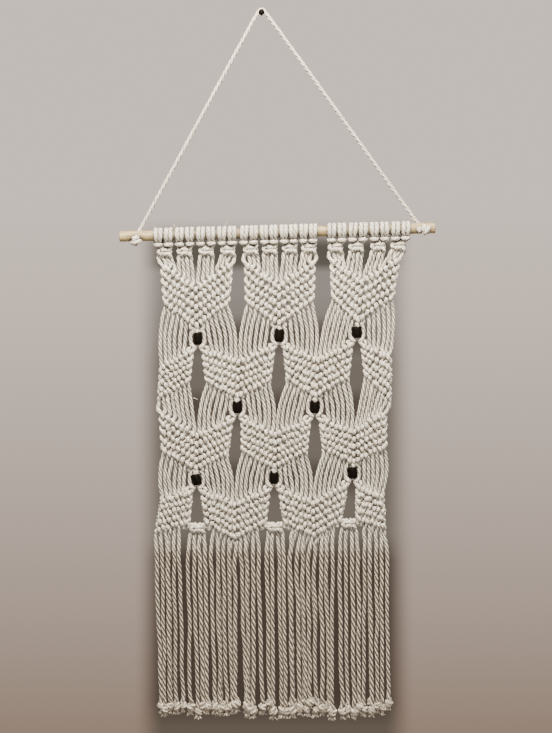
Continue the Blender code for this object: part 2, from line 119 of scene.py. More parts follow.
# The lark's heads: the middle of each group's first and last loop along the dowel.
HEAD_GROUPS = (
    {"first": -100.8, "last": -25.2},
    {"first": -18.9, "last": 51.6},
    {"first": 64.0, "last": 139.8},
)
CORDS = 48
GROUP_CORDS = 16  # in each group of heads
CLUSTER_GAP = 0.8  # how much further apart two loops are that go to different knots
HEAD_GAP = 0.9  # how much further apart two loops are that belong to different heads

# A lark's head's right half, from the middle of its bar to where the cord leaves it. Across is from
# the loop, and out to the front and up are from the dowel's axis.
LARKS_HEAD = (
    (-0.9, 3.0, -9.4), (0.2, 1.6, -9.0), (0.6, -1.6, -8.2), (0.4, -5.5, -3.6), (0.0, -6.4, 1.1),
    (0.0, -4.2, 4.9), (0.0, 0.0, 6.5), (0.0, 4.6, 4.6), (0.0, 6.5, 0.0), (-0.2, 5.1, -4.3),
    (-0.6, 0.6, -7.4), (-0.8, -1.4, -9.8),
)
BAR_MIDDLE = (0.0, 3.4, -9.5)
HEAD_LEAN = 0.06  # how far a head's cords lean along the dowel, either way, for each millimetre of height
LOOP_SPREAD = 1.02  # a cord lies flatter and wider where it is pulled round the dowel
# What is wound round the dowel within this reach of its axis is pressed on it. It comes to lie this clear
# of the wood, and further out at this rate if it lay outside the core. The press starts at this depth
# below the axis and is whole a little higher up.
PRESS = {"reach": 9.5, "depth": 9.0, "fade": 4.0, "clear": 0.1, "core": 4.2, "rate": 0.56}

# The knotted cloth hangs in this plane, behind the dowel's front.
CLOTH_Y = -8.0

# The first row of square knots, one below each pair of lark's heads.
FIRST_KNOTS = (-92.2, -73.1, -52.4, -31.8, -10.2, 8.0, 27.0, 45.3, 70.5, 90.2, 111.0, 130.2)
FIRST_KNOT = {"drop": 15.8, "spacing": 3.9, "half_height": 4.8}

# The chevrons of hitched rows, each with its first cord and its edges' (x, z) corners.
# A full chevron takes sixteen cords and a half takes eight.
BANDS = (
    {"first": 0, "upper": ((-97.5, -235.8), (-62.8, -260.0), (-26.5, -235.8)),
     "lower": ((-94.0, -278.0), (-61.4, -302.6), (-30.0, -278.0))},
    {"first": 16, "upper": ((-17.0, -234.8), (16.4, -258.2), (51.8, -233.6)),
     "lower": ((-16.0, -277.5), (16.8, -299.8), (50.8, -275.4))},
    {"first": 32, "upper": ((64.6, -232.0), (95.7, -253.4), (133.4, -230.6)),
     "lower": ((66.0, -272.8), (91.0, -297.0), (126.6, -272.4))},
    {"first": 0, "upper": ((-97.6, -336.0), (-63.4, -318.6)),
     "lower": ((-99.6, -370.4), (-67.4, -352.4))},
    {"first": 8, "upper": ((-58.2, -318.6), (-22.0, -329.4), (14.3, -315.8)),
     "lower": ((-53.8, -352.4), (-23.2, -368.6), (9.4, -351.4))},
    {"first": 24, "upper": ((19.5, -315.6), (53.8, -327.4), (88.0, -312.6)),
     "lower": ((23.2, -349.2), (51.0, -368.2), (84.2, -347.8))},
    {"first": 40, "upper": ((93.4, -312.4), (124.4, -326.0)),
     "lower": ((97.0, -346.0), (123.8, -372.0))},
    {"first": 0, "upper": ((-98.6, -376.4), (-61.4, -399.6), (-25.8, -385.0)),
     "lower": ((-95.8, -419.0), (-62.4, -437.2), (-31.4, -421.0))},
    {"first": 16, "upper": ((-20.0, -384.6), (13.1, -398.6), (48.0, -384.6)),
     "lower": ((-20.0, -418.6), (11.9, -435.8), (44.4, -418.2))},
    {"first": 32, "upper": ((53.6, -384.6), (88.1, -396.0), (119.6, -377.2)),
     "lower": ((57.6, -416.8), (87.4, -430.6), (120.0, -415.4))},
    {"first": 0, "upper": ((-96.4, -462.4), (-64.8, -452.6)),
     "lower": ((-102.8, -496.6), (-67.6, -486.8))},
    {"first": 8, "upper": ((-59.4, -452.6), (-25.9, -465.2), (9.2, -451.2)),
     "lower": ((-54.3, -486.8), (-25.9, -502.6), (5.4, -486.0))},
    {"first": 24, "upper": ((14.6, -451.2), (48.6, -464.2), (83.8, -446.0)),
     "lower": ((20.6, -486.6), (50.0, -500.8), (76.8, -484.0))},
    {"first": 40, "upper": ((89.2, -446.0), (117.2, -460.4)),
     "lower": ((89.6, -484.0), (119.0, -492.4))},
)
HALF_CHEVRON = 8  # the cords of each arm
KNOT_CORDS = 4  # the cords of a square knot
ROWS = 5  # hitched rows, one below the other, in each chevron

# A cord's hitch round the row's carrier: down behind it, up before it, over it and down behind again.
# Along is in cord diameters towards the arm's lower end, out is in cord diameters with the front
# positive, and up is in shares of the hitch's reach.
HITCH = (
    (0.5, 0.05, 1.8), (0.25, -0.55, 0.5), (0.1, -0.5, -0.9), (0.02, 0.1, -1.1), (0.0, 0.66, -0.72),
    (0.0, 0.86, 0.0), (0.0, 0.66, 0.72), (-0.02, 0.1, 1.1), (-0.2, -0.5, 0.7), (-0.33, -0.55, -0.4),
    (-0.5, 0.05, -1.8),
)
HITCH_TURN = 1.1  # how high its turns lie above and below the carrier, in the same shares
HITCH_LEAN = 0.12  # how far a hitch leans square to its row's slope
HITCH_FILL = 0.9  # the share of its row's height that a hitch takes up
# Hitches differ in height and in how far they stand out, in their lean, and in their place along and up.
HITCH_SIZES = (0.85, 1.15)
HITCH_TILT = 0.4
HITCH_STRAY = (0.6, 1.05)

# How a carrier comes into its chevron's first row and into the later rows, and how it leaves a half
# chevron's rows. Across is towards the arm's lower end and out to the front, both in cord diameters,
# and up is in half heights of the row.
CARRIER_IN = (
    ((-0.1, -0.1, 0.8), (0.3, 0.3, 0.2), (0.62, 0.35, -0.25)),
    ((0.55, -0.1, 0.8), (0.42, 0.3, 0.2), (0.62, 0.35, -0.25)),
)
CARRIER_OUT = ((-0.45, 0.25, -0.1), (-0.5, -0.1, -0.8))
# How the left carrier of a full chevron goes on under the right one's hitch, in the middle.
CARRIERS_CROSS = ((0.0, 0.0, 0.0), (0.5, -0.45, -1.0))
# Where the last row ends this near to a bead and less than so far above it, its two middle cords cross
# once more, a little drop below it. Across and out are in cord diameters.
LAST_CROSS = {
    "near": 6.0, "above": 14.0, "drop": 0.6, "half_height": 3.6, "across": 0.4, "out": -0.4, "down": 1.5,
}
# A hanging cord ends this far above a chevron's upper edge, and begins this far below its lower one.
ABOVE_BAND, BELOW_BAND = 1.5, 2.5

# The cords of a square knot, from left to right. Across is in cord spacings, out is in cord diameters
# with the front positive, and up is in half heights of the knot.
LEFT_WORKER = with_lower_half((
    (-1.5, 0.0, 1.0), (-1.15, 0.15, 0.72), (-0.5, 0.72, 0.42), (0.45, 0.76, 0.34), (1.02, 0.25, 0.3),
    (1.5, 0.0, 0.0),
))
LEFT_CORE = with_lower_half(((-0.5, 0.0, 1.0), (-0.35, 0.5, 0.2)))
RIGHT_CORE = with_lower_half(((0.5, 0.0, 1.0), (0.35, 0.5, 0.2)))
RIGHT_WORKER = with_lower_half((
    (1.5, 0.0, 1.0), (1.2, 0.78, 0.56), (1.0, -0.1, 0.14), (0.45, -0.78, 0.25), (-0.45, -0.78, 0.25),
    (-0.95, -0.1, 0.2), (-1.25, 0.76, 0.36), (-1.52, 0.5, 0.0),
))
SQUARE_KNOT = (LEFT_WORKER, LEFT_CORE, RIGHT_CORE, RIGHT_WORKER)

# The beads, with the left one of the two cords that go through each, and its turn in degrees.
BEADS = (
    {"left_cord": 7, "x": -60.8, "z": -310.2, "radius": 4.1, "half_height": 6.2, "turn": 2},
    {"left_cord": 23, "x": 16.9, "z": -307.4, "radius": 4.4, "half_height": 6.2, "turn": 6},
    {"left_cord": 39, "x": 90.8, "z": -304.2, "radius": 4.7, "half_height": 5.5, "turn": -4},
    {"left_cord": 15, "x": -22.9, "z": -375.4, "radius": 4.4, "half_height": 5.9, "turn": -2},
    {"left_cord": 31, "x": 50.8, "z": -375.2, "radius": 4.5, "half_height": 6.0, "turn": 4},
    {"left_cord": 7, "x": -62.0, "z": -444.4, "radius": 4.6, "half_height": 5.4, "turn": -20},
    {"left_cord": 23, "x": 11.9, "z": -442.9, "radius": 4.1, "half_height": 5.6, "turn": 3},
    {"left_cord": 39, "x": 86.6, "z": -437.8, "radius": 4.6, "half_height": 5.5, "turn": -12},
)
# A bead's outline from its top down, in shares of its radius and half height.
BEAD_OUTLINE = with_lower_half((
    (0.55, 0.86), (0.6, 0.97), (0.72, 1.0), (0.86, 0.93), (0.95, 0.75), (1.0, 0.35), (1.0, 0.0),
))
BEAD_SIDES = 28
# The two cords in a bead run this far off its axis until they are clear of its ends, and then part.
BEAD_CORD = {"off": 1.15, "clear": 0.8, "across": 3.6, "out": -0.6, "down": 1.8}
# The cord next to a bead bows round it: up from the bead's middle, and across from its axis. At the last
# point it lies in front of the cord that it crosses, in cord diameters.
BESIDE = ((9.0, 4.1), (4.5, 6.1), (0.0, 6.6), (-5.0, 6.0), (-8.6, 3.0))
BESIDE_OUT = 0.35
BESIDE_STRAY = {"out": 0.1, "across": 0.2}
# How the other cords that pass a bead within this reach bow out from it: the far ones more than the near.
BOW = {"across": 38.0, "up": 20.0, "straight": 14.0, "rate": 0.2, "least": -0.2, "most": 2.3}

# A hanging cord longer than this many diameters waves a little at these shares of its length. The cords
# that come into a chevron hang this far in front of their neighbours or behind them, by turns.
WAVE = {"over": 3, "at": (0.2, 0.5, 0.8), "across": 0.4, "back": 0.5, "apart": 1.0}

# The square knots that close the openings above the fringe.
LINKING_KNOTS = (
    {"first": 6, "x": -61.0, "z": -491.2, "spacing": 3.9, "half_height": 4.0},
    {"first": 22, "x": 13.0, "z": -490.4, "spacing": 4.2, "half_height": 4.0},
    {"first": 38, "x": 83.2, "z": -486.9, "spacing": 3.9, "half_height": 4.0},
)

# The fringe: where its strands hang from and end, how much their ends differ in height, which lanes
# hang behind their left neighbours and how far, and how far a strand strays from its place.
FRINGE_TOP_X = (-101.0, 119.5)
FRINGE_END_X = (-97.0, 121.4)
FRINGE_TOP_Z = -503.0
FRINGE_END_Z = -671.0
FRINGE_UNEVEN = 5.6
FRINGE_BEHIND = (3, 12, 15, 19, 27, 30, 33, 36, 44)
FRINGE_BACK = 4.3
FRINGE_STRAY = {"top": 0.6, "end": 0.9, "back": 1.3}
FRINGE_PARTS = {"lanes": (6, 22, 38), "gap": 0.4}  # wider gaps left of these lanes, in strand spacings

# The cords of the net loosen over this height, from the fringe's top down.
LOOSEN_OVER = 12.0
# The places along a strand, in shares of its length. It comes to its own place at a rate given by this
# power, wavers across and back, and ends higher or lower by shares of the unevenness above.
STRAND = {
    "at": (0.03, 0.08, 0.16, 0.27, 0.39, 0.52, 0.65, 0.79, 0.93), "gather": 16, "across": 0.75, "back": 0.5,
    "ends": (-0.5, 1.2),
}

# An overhand knot at a strand's end, in cord diameters from the knot's middle: across, out and up.
OVERHAND = (
    (0.0, 0.0, 1.6), (0.05, -0.3, 0.8), (0.35, -0.35, 0.0), (0.6, 0.15, -0.4), (0.0, 0.66, -0.25),
    (-0.62, 0.2, 0.1), (-0.35, -0.5, 0.3), (0.42, -0.55, 0.4), (0.7, 0.1, 0.35), (0.15, 0.6, 0.45),
    (-0.3, 0.3, 0.05), (-0.2, 0.05, -0.6), (-0.1, 0.0, -1.1),
)
OVERHAND_UP = 7.5  # the knot's middle above the strand's end
# The knots are turned about the plumb line and tilted by up to this many radians, and differ in size.
OVERHAND_STRAY = {"turn": 1.0, "tilt": 0.9, "sizes": (0.85, 1.1)}
# The frayed yarns below it, which spring from within this reach of its end and a little above it. They
# lean across and out, and bend.
TUFT = {
    "yarns": 26, "reach": 1.2, "above": 0.8, "lean": (0.42, 0.3), "bend": 0.3, "length": (2.0, 4.4),
    "radius": (0.6, 0.95),
}
YARN = {"sides": 4, "rings": 4, "tip": 0.35}  # a yarn's mesh, and how thin its end is against its root

# Single threads that have come loose, from and to, with the piece of cords that each belongs to.
STRAY_THREADS = (
    (0, (-101.0, -10.0, -206.0), (-102.4, -10.0, -202.2)),
    (0, (-83.6, -12.0, -204.6), (-82.6, -12.0, -201.8)),
    (0, (-65.2, -9.5, -366.6), (-60.0, -10.5, -368.6)),
    (1, (-34.4, -12.0, -203.4), (-33.0, -12.0, -200.4)),
    (3, (56.6, -9.0, -371.0), (55.0, -11.0, -366.4)),
)
THREAD_R, THREAD_STEP = 0.3, 1.0  # a thread's radius and the distance between its mesh's rings

# Painted shade darkens the cotton and the dowel where something else lies within this reach.
HOLLOW = 5.0

STRANDS_A_PIECE = 8
SEED = 11

# A cord's mesh: its plies and sides, the yarns that show round it, how sharp the plies' crests are, and
# the most that it is turned about itself where it starts.
PLIES = 3
YARNS = 18
ROPE_SIDES = 12
CREST = 0.7
MOST_LEAD = 6.0
# From this bend on, in radians for each millimetre, a cord is pressed wider, its plies lie closer and its
# grooves close up. All of that is full at a bend of so much more, and is evened out over a few rings.
TIGHT = {"from": 0.06, "over": 0.09, "rings": 5, "wider": 0.11, "groove": 0.75, "slack": 1.25}

# The stage, in metres.
CAMERA_X, CAMERA_Z = 0.0138, -0.337
LIGHTS = (
    {"name": "key", "place": (-0.05, -0.56, 0.37), "aim": (CAMERA_X, 0, -0.38), "size": (0.4, 0.22),
     "power": 34.0, "colour": "fff3e0"},
    {"name": "fill", "place": (0.9, -1.6, -0.1), "aim": (CAMERA_X, 0, -0.33), "size": (1.2, 1.2),
     "power": 12.0, "colour": "f8f4f2"},
    {"name": "rim", "place": (0.4, 1.3, 0.1), "aim": (CAMERA_X, 0, -0.33), "size": (1.0, 0.6),
     "power": 16.0, "colour": "ffffff"},
)
AIR_STRENGTH = 0.34
FLOOR_REACH = (1.6, 1.6)  # half its width and half its depth
# The height of the backdrop's middle, its half width and half height, and where it grows lighter.
BACKDROP = {"middle": 0.6, "reach": (4.0, 2.0), "fade": (-1.3, 0.1)}
# The hanging's shade, painted on the backdrop, as it lies at the hanging: the middle and the half width
# or height of all of it and of what is darker at the rows of beads, and how far its edges fade.
SHADE_X, SHADE_Z, ROW_SHADE_X = (0.012, 0.105), (-0.458, 0.234), (0.012, 0.08)
SHADE_FADE = 0.03
# It is lightest in the long slits at the top and darkest behind the fringe. Heights are from the camera's.
SHADE_STEPS = (
    (-0.345, "below_shade"), (-0.32, "fringe_shade"), (-0.185, "fringe_shade"), (-0.16, "backdrop_shade"),
    (0.0, "backdrop_shade"), (0.07, "slit_shade"), (0.09, "slit_shade"), (0.098, "knot_shade"),
)
# It is darker again at each row of beads, where the openings between the cords are narrow.
BEAD_ROWS = (-0.105, -0.039, 0.029)
ROW_SHADE = ((-0.022, 0.0), (-0.006, 0.75), (0.006, 0.75), (0.02, 0.0))


def linear(hex_code):
    """An sRGB hex colour as linear red, green and blue."""
    shares = [int(hex_code[i : i + 2], 16) / 255 for i in (0, 2, 4)]
    return [s / 12.92 if s <= 0.04045 else ((s + 0.055) / 1.055) ** 2.4 for s in shares]


def length_property(name, description, default):
    """A length in metres for the panel."""
    return bpy.props.FloatProperty(name=name, description=description, default=default, unit="LENGTH")


def colour_property(name, description, hex_code):
    """A colour for the panel, from its hex code."""
    return bpy.props.FloatVectorProperty(
        name=name, description=description, default=linear(hex_code), subtype="COLOR"
    )


class CordSettings(bpy.types.PropertyGroup):
    """The cotton cord, as it is where nothing pulls on it."""

    diameter: length_property("Diameter", "Thickness of the cord over its plies", 0.0042)
    lay: length_property("Lay length", "Length of one full turn of a ply", 0.0205)
    step: length_property("Ring spacing", "Distance between the rings of a cord's mesh", 0.0015)
    groove: bpy.props.FloatProperty(
        name="Groove", description="Depth of the grooves between plies, as a share of the radius",
        default=0.46, subtype="FACTOR", min=0.0, max=0.5,
    )
    # The colour and the groove colour are lit and shaded copies of the cotton: the grooves between the plies
    # are painted with shade.
    colour: colour_property("Colour", "The cotton where light reaches it", "f9f3e6")
    shade: colour_property("Groove colour", "The cotton deep between the plies", "5b5347")
    # The loose colours are the fringe's cotton a little darker, with painted shade between its loose yarns
    # and in its grooves.
    loose: colour_property(
        "Loose colour", "The cotton of the loose fringe, whose yarns let light in", "f3e7d5"
    )
    loose_shade: colour_property(
        "Loose groove colour", "The fringe deep between its plies", "4c4238"
    )


class WoodSettings(bpy.types.PropertyGroup):
    """The dowel and the beads."""

    dowel: colour_property("Dowel", "Plain sanded wood", "c4b286")
    dowel_grain: colour_property("Dowel grain", "Darker growth lines of the dowel", "836e47")
    grain_width: length_property("Grain width", "Distance between growth lines", 0.0009)
    # Painted shade: the dowel between the cords, where little light comes, is darkened to this colour.
    dowel_shade: colour_property("Dust", "The dowel between the cords, where dust lies", "4e4a40")
    bead: colour_property("Bead", "Dark stain on the beads", "070402")
    bead_grain: colour_property("Bead grain", "Lighter grain of the beads", "0e0905")


class StageSettings(bpy.types.PropertyGroup):
    """The camera, the light and the backdrop."""

    distance: length_property("Camera distance", "From the camera to the cloth", 1.6)
    frame_height: length_property(
        "Frame height", "What the picture's height takes in at the cloth", 0.698
    )
    floor_drop: length_property("Floor", "How far the floor lies below the nail", 1.4)
    backdrop_distance: length_property(
        "Backdrop distance", "How far the backdrop stands behind the hanging", 2.9
    )
    air: colour_property("Air", "Colour of the room's soft light", "c8c1ba")
    air_low: colour_property("Air below", "Colour of the room's soft light from below", "47423d")
    floor: colour_property("Floor colour", "Painted floor", "b9b2aa")
    backdrop: colour_property("Backdrop", "Top of the backdrop", "f5e4d8")
    backdrop_low: colour_property("Backdrop below", "Bottom of the backdrop", "9c8676")
    backdrop_shade: colour_property(
        "Backdrop shade", "The backdrop where the hanging shades it", "766d62"
    )
    slit_shade: colour_property("Slit shade", "The backdrop in the long slits near the dowel", "9a9189")
    knot_shade: colour_property("Knot shade", "The backdrop between the first knots", "5f5a50")
    below_shade: colour_property("Shade below", "The backdrop under the fringe", "665b50")
    fringe_shade: colour_property("Fringe shade", "The backdrop where the fringe shades it", "4a3f36")


def fill(tree, node, inputs=(), links=()):
    """Sets a node's inputs and links what feeds them. They go by name, or by number where names repeat:
    a map range's inputs 1 and 2 are the range that it reads, and 3 and 4 are the range that it gives."""
    for name, value in dict(inputs).items():
        node.inputs[name].default_value = value
    for name, source in dict(links).items():
        tree.links.new(source, node.inputs[name])


def add_node(tree, kind, settings=(), inputs=(), links=()):
    """A new node with its settings, its inputs' values and its links."""
    made = tree.nodes.new(kind)
    for name, value in dict(settings).items():
        setattr(made, name, value)
    fill(tree, made, inputs, links)
    return made


def new_material(name):
    """A new material with its node tree and its shader."""
    material = bpy.data.materials.new(name)
    material.use_nodes = True
    tree = material.node_tree
    return material, tree, tree.nodes["Principled BSDF"]


def add_stops(ramp, stops):
    """Gives a colour ramp its (position, colour) stops."""
    elements = ramp.color_ramp.elements
    for index, (position, colour) in enumerate(stops):
        stop = elements[index] if index < 2 else elements.new(1.0)
        stop.position, stop.color = position, (*colour, 1)


def greys(stops):
    """The stops of a ramp from its (position, brightness) pairs."""
    return [(position, (level,) * 3) for position, level in stops]


def per_metre(millimetres):
    """The scale of a pattern that repeats each so many millimetres."""
    return 1 / (millimetres * MM)


def cotton_material(settings):
    """Three-ply twisted cotton: soft, matt and slightly hairy, with painted shade between its plies and in
    the hollows between cords.
    """
    material, tree, shader = new_material("twisted_cotton")
    where = add_node(tree, "ShaderNodeTexCoord")
    uv = add_node(tree, "ShaderNodeSeparateXYZ", links={0: where.outputs["UV"]})
    # The plies: the second coordinate goes once round the cord, so a crest for each ply lies in it. The
    # cotton is mixed from its lit colour on the crests to painted shade in the grooves.
    plies = add_node(tree, "ShaderNodeMath", {"operation": "MULTIPLY"}, {1: 2 * PLIES * math.pi},
                     {0: uv.outputs["Y"]})
    crest = add_node(tree, "ShaderNodeMath", {"operation": "COSINE"}, links={0: plies.outputs[0]})
    # They close up where the cord is pulled tight, so that less painted shade shows.
    slack = add_node(tree, "ShaderNodeAttribute", {"attribute_name": "slack"})
    shown = add_node(tree, "ShaderNodeValToRGB", links={0: slack.outputs["Fac"]})
    add_stops(shown, greys(((0.12, 0.35), (0.5, 1.0), (0.75, 0.7), (1.0, 1.0))))
    lit_from = add_node(tree, "ShaderNodeMapRange", inputs={1: 0.5, 2: 1.0, 3: 0.25, 4: 0.85},
                        links={0: slack.outputs["Fac"]})
    dark_to = add_node(tree, "ShaderNodeMath", {"operation": "SUBTRACT"}, {1: 1.15}, {0: lit_from.outputs[0]})
    depth = add_node(tree, "ShaderNodeMapRange", inputs={3: 0.0, 4: 1.0},
                     links={0: crest.outputs[0], 1: dark_to.outputs[0], 2: lit_from.outputs[0]})
    loose = add_node(tree, "ShaderNodeMapRange", inputs={1: 0.55, 2: 0.75}, links={0: slack.outputs["Fac"]})
    ply = add_node(tree, "ShaderNodeMix", {"data_type": "FLOAT"}, {"A": 1.0},
                   {"Factor": shown.outputs[0], "B": depth.outputs[0]})
    # Yarns lie along the cord. There are more of them in a real one, and these are the finest that show.
    slip = add_node(tree, "ShaderNodeMath", {"operation": "SUBTRACT"},
                    links={0: uv.outputs["Y"], 1: uv.outputs["X"]})
    turns = add_node(tree, "ShaderNodeMath", {"operation": "MULTIPLY"}, {1: 2 * YARNS * math.pi},
                     {0: slip.outputs[0]})
    yarns = add_node(tree, "ShaderNodeMath", {"operation": "SINE"}, links={0: turns.outputs[0]})
    fluff = add_node(tree, "ShaderNodeTexNoise", inputs={"Scale": per_metre(1.3), "Detail": 4.0},
                     links={"Vector": where.outputs["Object"]})
    uneven = add_node(tree, "ShaderNodeTexNoise", inputs={"Scale": per_metre(45), "Detail": 2.0},
                      links={"Vector": where.outputs["Object"]})
    # Painted shade darkens the hollows between cords, where little light comes.
    open_share = add_node(tree, "ShaderNodeAmbientOcclusion", {"samples": 6}, {"Distance": HOLLOW * MM})
    hollow = add_node(tree, "ShaderNodeMapRange", inputs={1: 0.12, 2: 0.7, 3: 0.0, 4: 1.0},
                      links={0: open_share.outputs["AO"]})
    both = add_node(tree, "ShaderNodeMath", {"operation": "MULTIPLY"},
                    links={0: ply.outputs[0], 1: hollow.outputs[0]})
    loosened, deep = (
        add_node(tree, "ShaderNodeMix", {"data_type": "RGBA"}, {"A": (*tight, 1), "B": (*untwisted, 1)},
                 {"Factor": loose.outputs[0]})
        for tight, untwisted in ((settings.colour, settings.loose), (settings.shade, settings.loose_shade))
    )
    tone = add_node(tree, "ShaderNodeMix", {"data_type": "RGBA"}, links={
        "Factor": both.outputs[0], "A": deep.outputs["Result"], "B": loosened.outputs["Result"],
    })
    aged = add_node(tree, "ShaderNodeMix", {"data_type": "RGBA", "blend_type": "MULTIPLY"},
                    {"Factor": 0.06}, {"A": tone.outputs["Result"], "B": uneven.outputs["Fac"]})
    lint = add_node(tree, "ShaderNodeMapRange", inputs={1: 0.4, 2: 0.57, 3: 0.52, 4: 1.0},
                    links={0: fluff.outputs["Fac"]})
    linted = add_node(tree, "ShaderNodeMix", {"data_type": "RGBA", "blend_type": "MULTIPLY"},
                      {"Factor": 1.0}, {"A": aged.outputs["Result"], "B": lint.outputs[0]})
    heights = add_node(tree, "ShaderNodeMath", {"operation": "MULTIPLY_ADD"}, {1: 0.25},
                       {0: yarns.outputs[0], 2: fluff.outputs["Fac"]})
    bump = add_node(tree, "ShaderNodeBump", inputs={"Strength": 0.5, "Distance": 0.25 * MM},
                    links={"Height": heights.outputs[0]})
    fill(tree, shader,
         {"Roughness": 0.92, "Sheen Weight": 0.25, "Sheen Roughness": 0.6, "Specular IOR Level": 0.25},
         {"Base Color": linted.outputs["Result"], "Normal": bump.outputs["Normal"]})
    return material


def sanded_wood_material(settings):
    """A turned and sanded stick of pale wood: matt, with fine grain along it."""
    material, tree, shader = new_material("sanded_pale_wood")
    where = add_node(tree, "ShaderNodeTexCoord")
    stretch = add_node(tree, "ShaderNodeMapping", inputs={"Scale": (0.04, 1, 1)},
                       links={"Vector": where.outputs["Object"]})
    grain = add_node(tree, "ShaderNodeTexNoise",
                     inputs={"Scale": 1 / settings.grain_width, "Detail": 5.0, "Distortion": 0.4},
                     links={"Vector": stretch.outputs[0]})
    lines = add_node(tree, "ShaderNodeMapRange", inputs={1: 0.42, 2: 0.62}, links={0: grain.outputs["Fac"]})
    tone = add_node(tree, "ShaderNodeMix", {"data_type": "RGBA"},
                    {"A": (*settings.dowel, 1), "B": (*settings.dowel_grain, 1)},
                    {"Factor": lines.outputs[0]})
    # The wood between the cords, where little light comes, is painted with shade.
    open_share = add_node(tree, "ShaderNodeAmbientOcclusion", {"samples": 6}, {"Distance": HOLLOW * MM})
    unshaded_share = add_node(tree, "ShaderNodeMapRange", inputs={1: 0.55, 2: 1.0},
                     links={0: open_share.outputs["AO"]})
    shaded_wood = add_node(tree, "ShaderNodeMix", {"data_type": "RGBA"}, {"A": (*settings.dowel_shade, 1)},
                      {"Factor": unshaded_share.outputs[0], "B": tone.outputs["Result"]})
    bump = add_node(tree, "ShaderNodeBump", inputs={"Strength": 0.25, "Distance": 0.15 * MM},
                    links={"Height": grain.outputs["Fac"]})
    fill(tree, shader, {"Roughness": 0.55},
         {"Base Color": shaded_wood.outputs["Result"], "Normal": bump.outputs["Normal"]})
    return material


def stained_wood_material(settings):
    """A turned bead of wood stained nearly black and left unpolished: fine grain, hardly any gloss."""
    material, tree, shader = new_material("dark_stained_wood")
    where = add_node(tree, "ShaderNodeTexCoord")
    stretch = add_node(tree, "ShaderNodeMapping", inputs={"Scale": (1, 1, 0.15)},
                       links={"Vector": where.outputs["Object"]})
    grain = add_node(tree, "ShaderNodeTexNoise", inputs={"Scale": per_metre(0.8), "Detail": 4.0},
                     links={"Vector": stretch.outputs[0]})
    tone = add_node(tree, "ShaderNodeMix", {"data_type": "RGBA"},
                    {"A": (*settings.bead, 1), "B": (*settings.bead_grain, 1)},
                    {"Factor": grain.outputs["Fac"]})
    bump = add_node(tree, "ShaderNodeBump", inputs={"Strength": 0.3, "Distance": 0.1 * MM},
                    links={"Height": grain.outputs["Fac"]})
    fill(tree, shader, {"Roughness": 0.6, "Specular IOR Level": 0.08},
         {"Base Color": tone.outputs["Result"], "Normal": bump.outputs["Normal"]})
    return material


def blackened_steel_material():
    """A drawn and blackened steel nail: dark, metallic and a little scuffed."""
    material, tree, shader = new_material("blackened_steel")
    where = add_node(tree, "ShaderNodeTexCoord")
    scuffs = add_node(tree, "ShaderNodeTexNoise", inputs={"Scale": per_metre(0.7), "Detail": 3.0},
                      links={"Vector": where.outputs["Object"]})
    rough = add_node(tree, "ShaderNodeMapRange", inputs={3: 0.3, 4: 0.6}, links={0: scuffs.outputs["Fac"]})
    fill(tree, shader, {"Base Color": (*linear("0f0d0b"), 1), "Metallic": 1.0},
         {"Roughness": rough.outputs[0]})
    return material


def dowel_height(x):
    """How high the dowel's axis lies at this x."""
    return DOWEL_CENTRE[2] + (x - DOWEL_CENTRE[0]) * math.tan(DOWEL_TILT)


def dowel_point(x):
    """The point of the dowel's axis at this x."""
    return np.array([x, DOWEL_CENTRE[1], dowel_height(x)])


def smooth_line(route, step):
    """Evenly spaced points on a centripetal Catmull-Rom curve through the route, a step apart."""
    points = np.array(route, dtype=float)
    points = np.vstack([2 * points[0] - points[1], points, 2 * points[-1] - points[-2]])
    gaps = np.linalg.norm(np.diff(points, axis=0), axis=1)
    knots = np.concatenate([[0], np.cumsum(np.sqrt(gaps))])
    line = []
    for i in range(len(points) - 3):
        a, b, c, d = points[i : i + 4]
        ta, tb, tc, td = knots[i : i + 4]
        t = np.linspace(tb, tc, max(3, int(3 * gaps[i + 1] / step)), endpoint=False)[:, None]
        ab = ((tb - t) * a + (t - ta) * b) / (tb - ta)
        bc = ((tc - t) * b + (t - tb) * c) / (tc - tb)
        cd = ((td - t) * c + (t - tc) * d) / (td - tc)
        abc = ((tc - t) * ab + (t - ta) * bc) / (tc - ta)
        bcd = ((td - t) * bc + (t - tb) * cd) / (td - tb)
        line.append(((tc - t) * abc + (t - tb) * bcd) / (tc - tb))
    line = np.vstack([*line, points[-2:-1]])
    run = np.concatenate([[0], np.cumsum(np.linalg.norm(np.diff(line, axis=0), axis=1))])
    even = np.linspace(0, run[-1], max(2, round(run[-1] / step)) + 1)
    return np.stack([np.interp(even, run, line[:, i]) for i in range(3)], axis=1)


class Chance(random.Random):
    """Draws that differ from cord to cord and come out the same at each run."""

    def stray(self, reach):
        """A step either way, within this reach."""
        return self.uniform(-reach, reach)


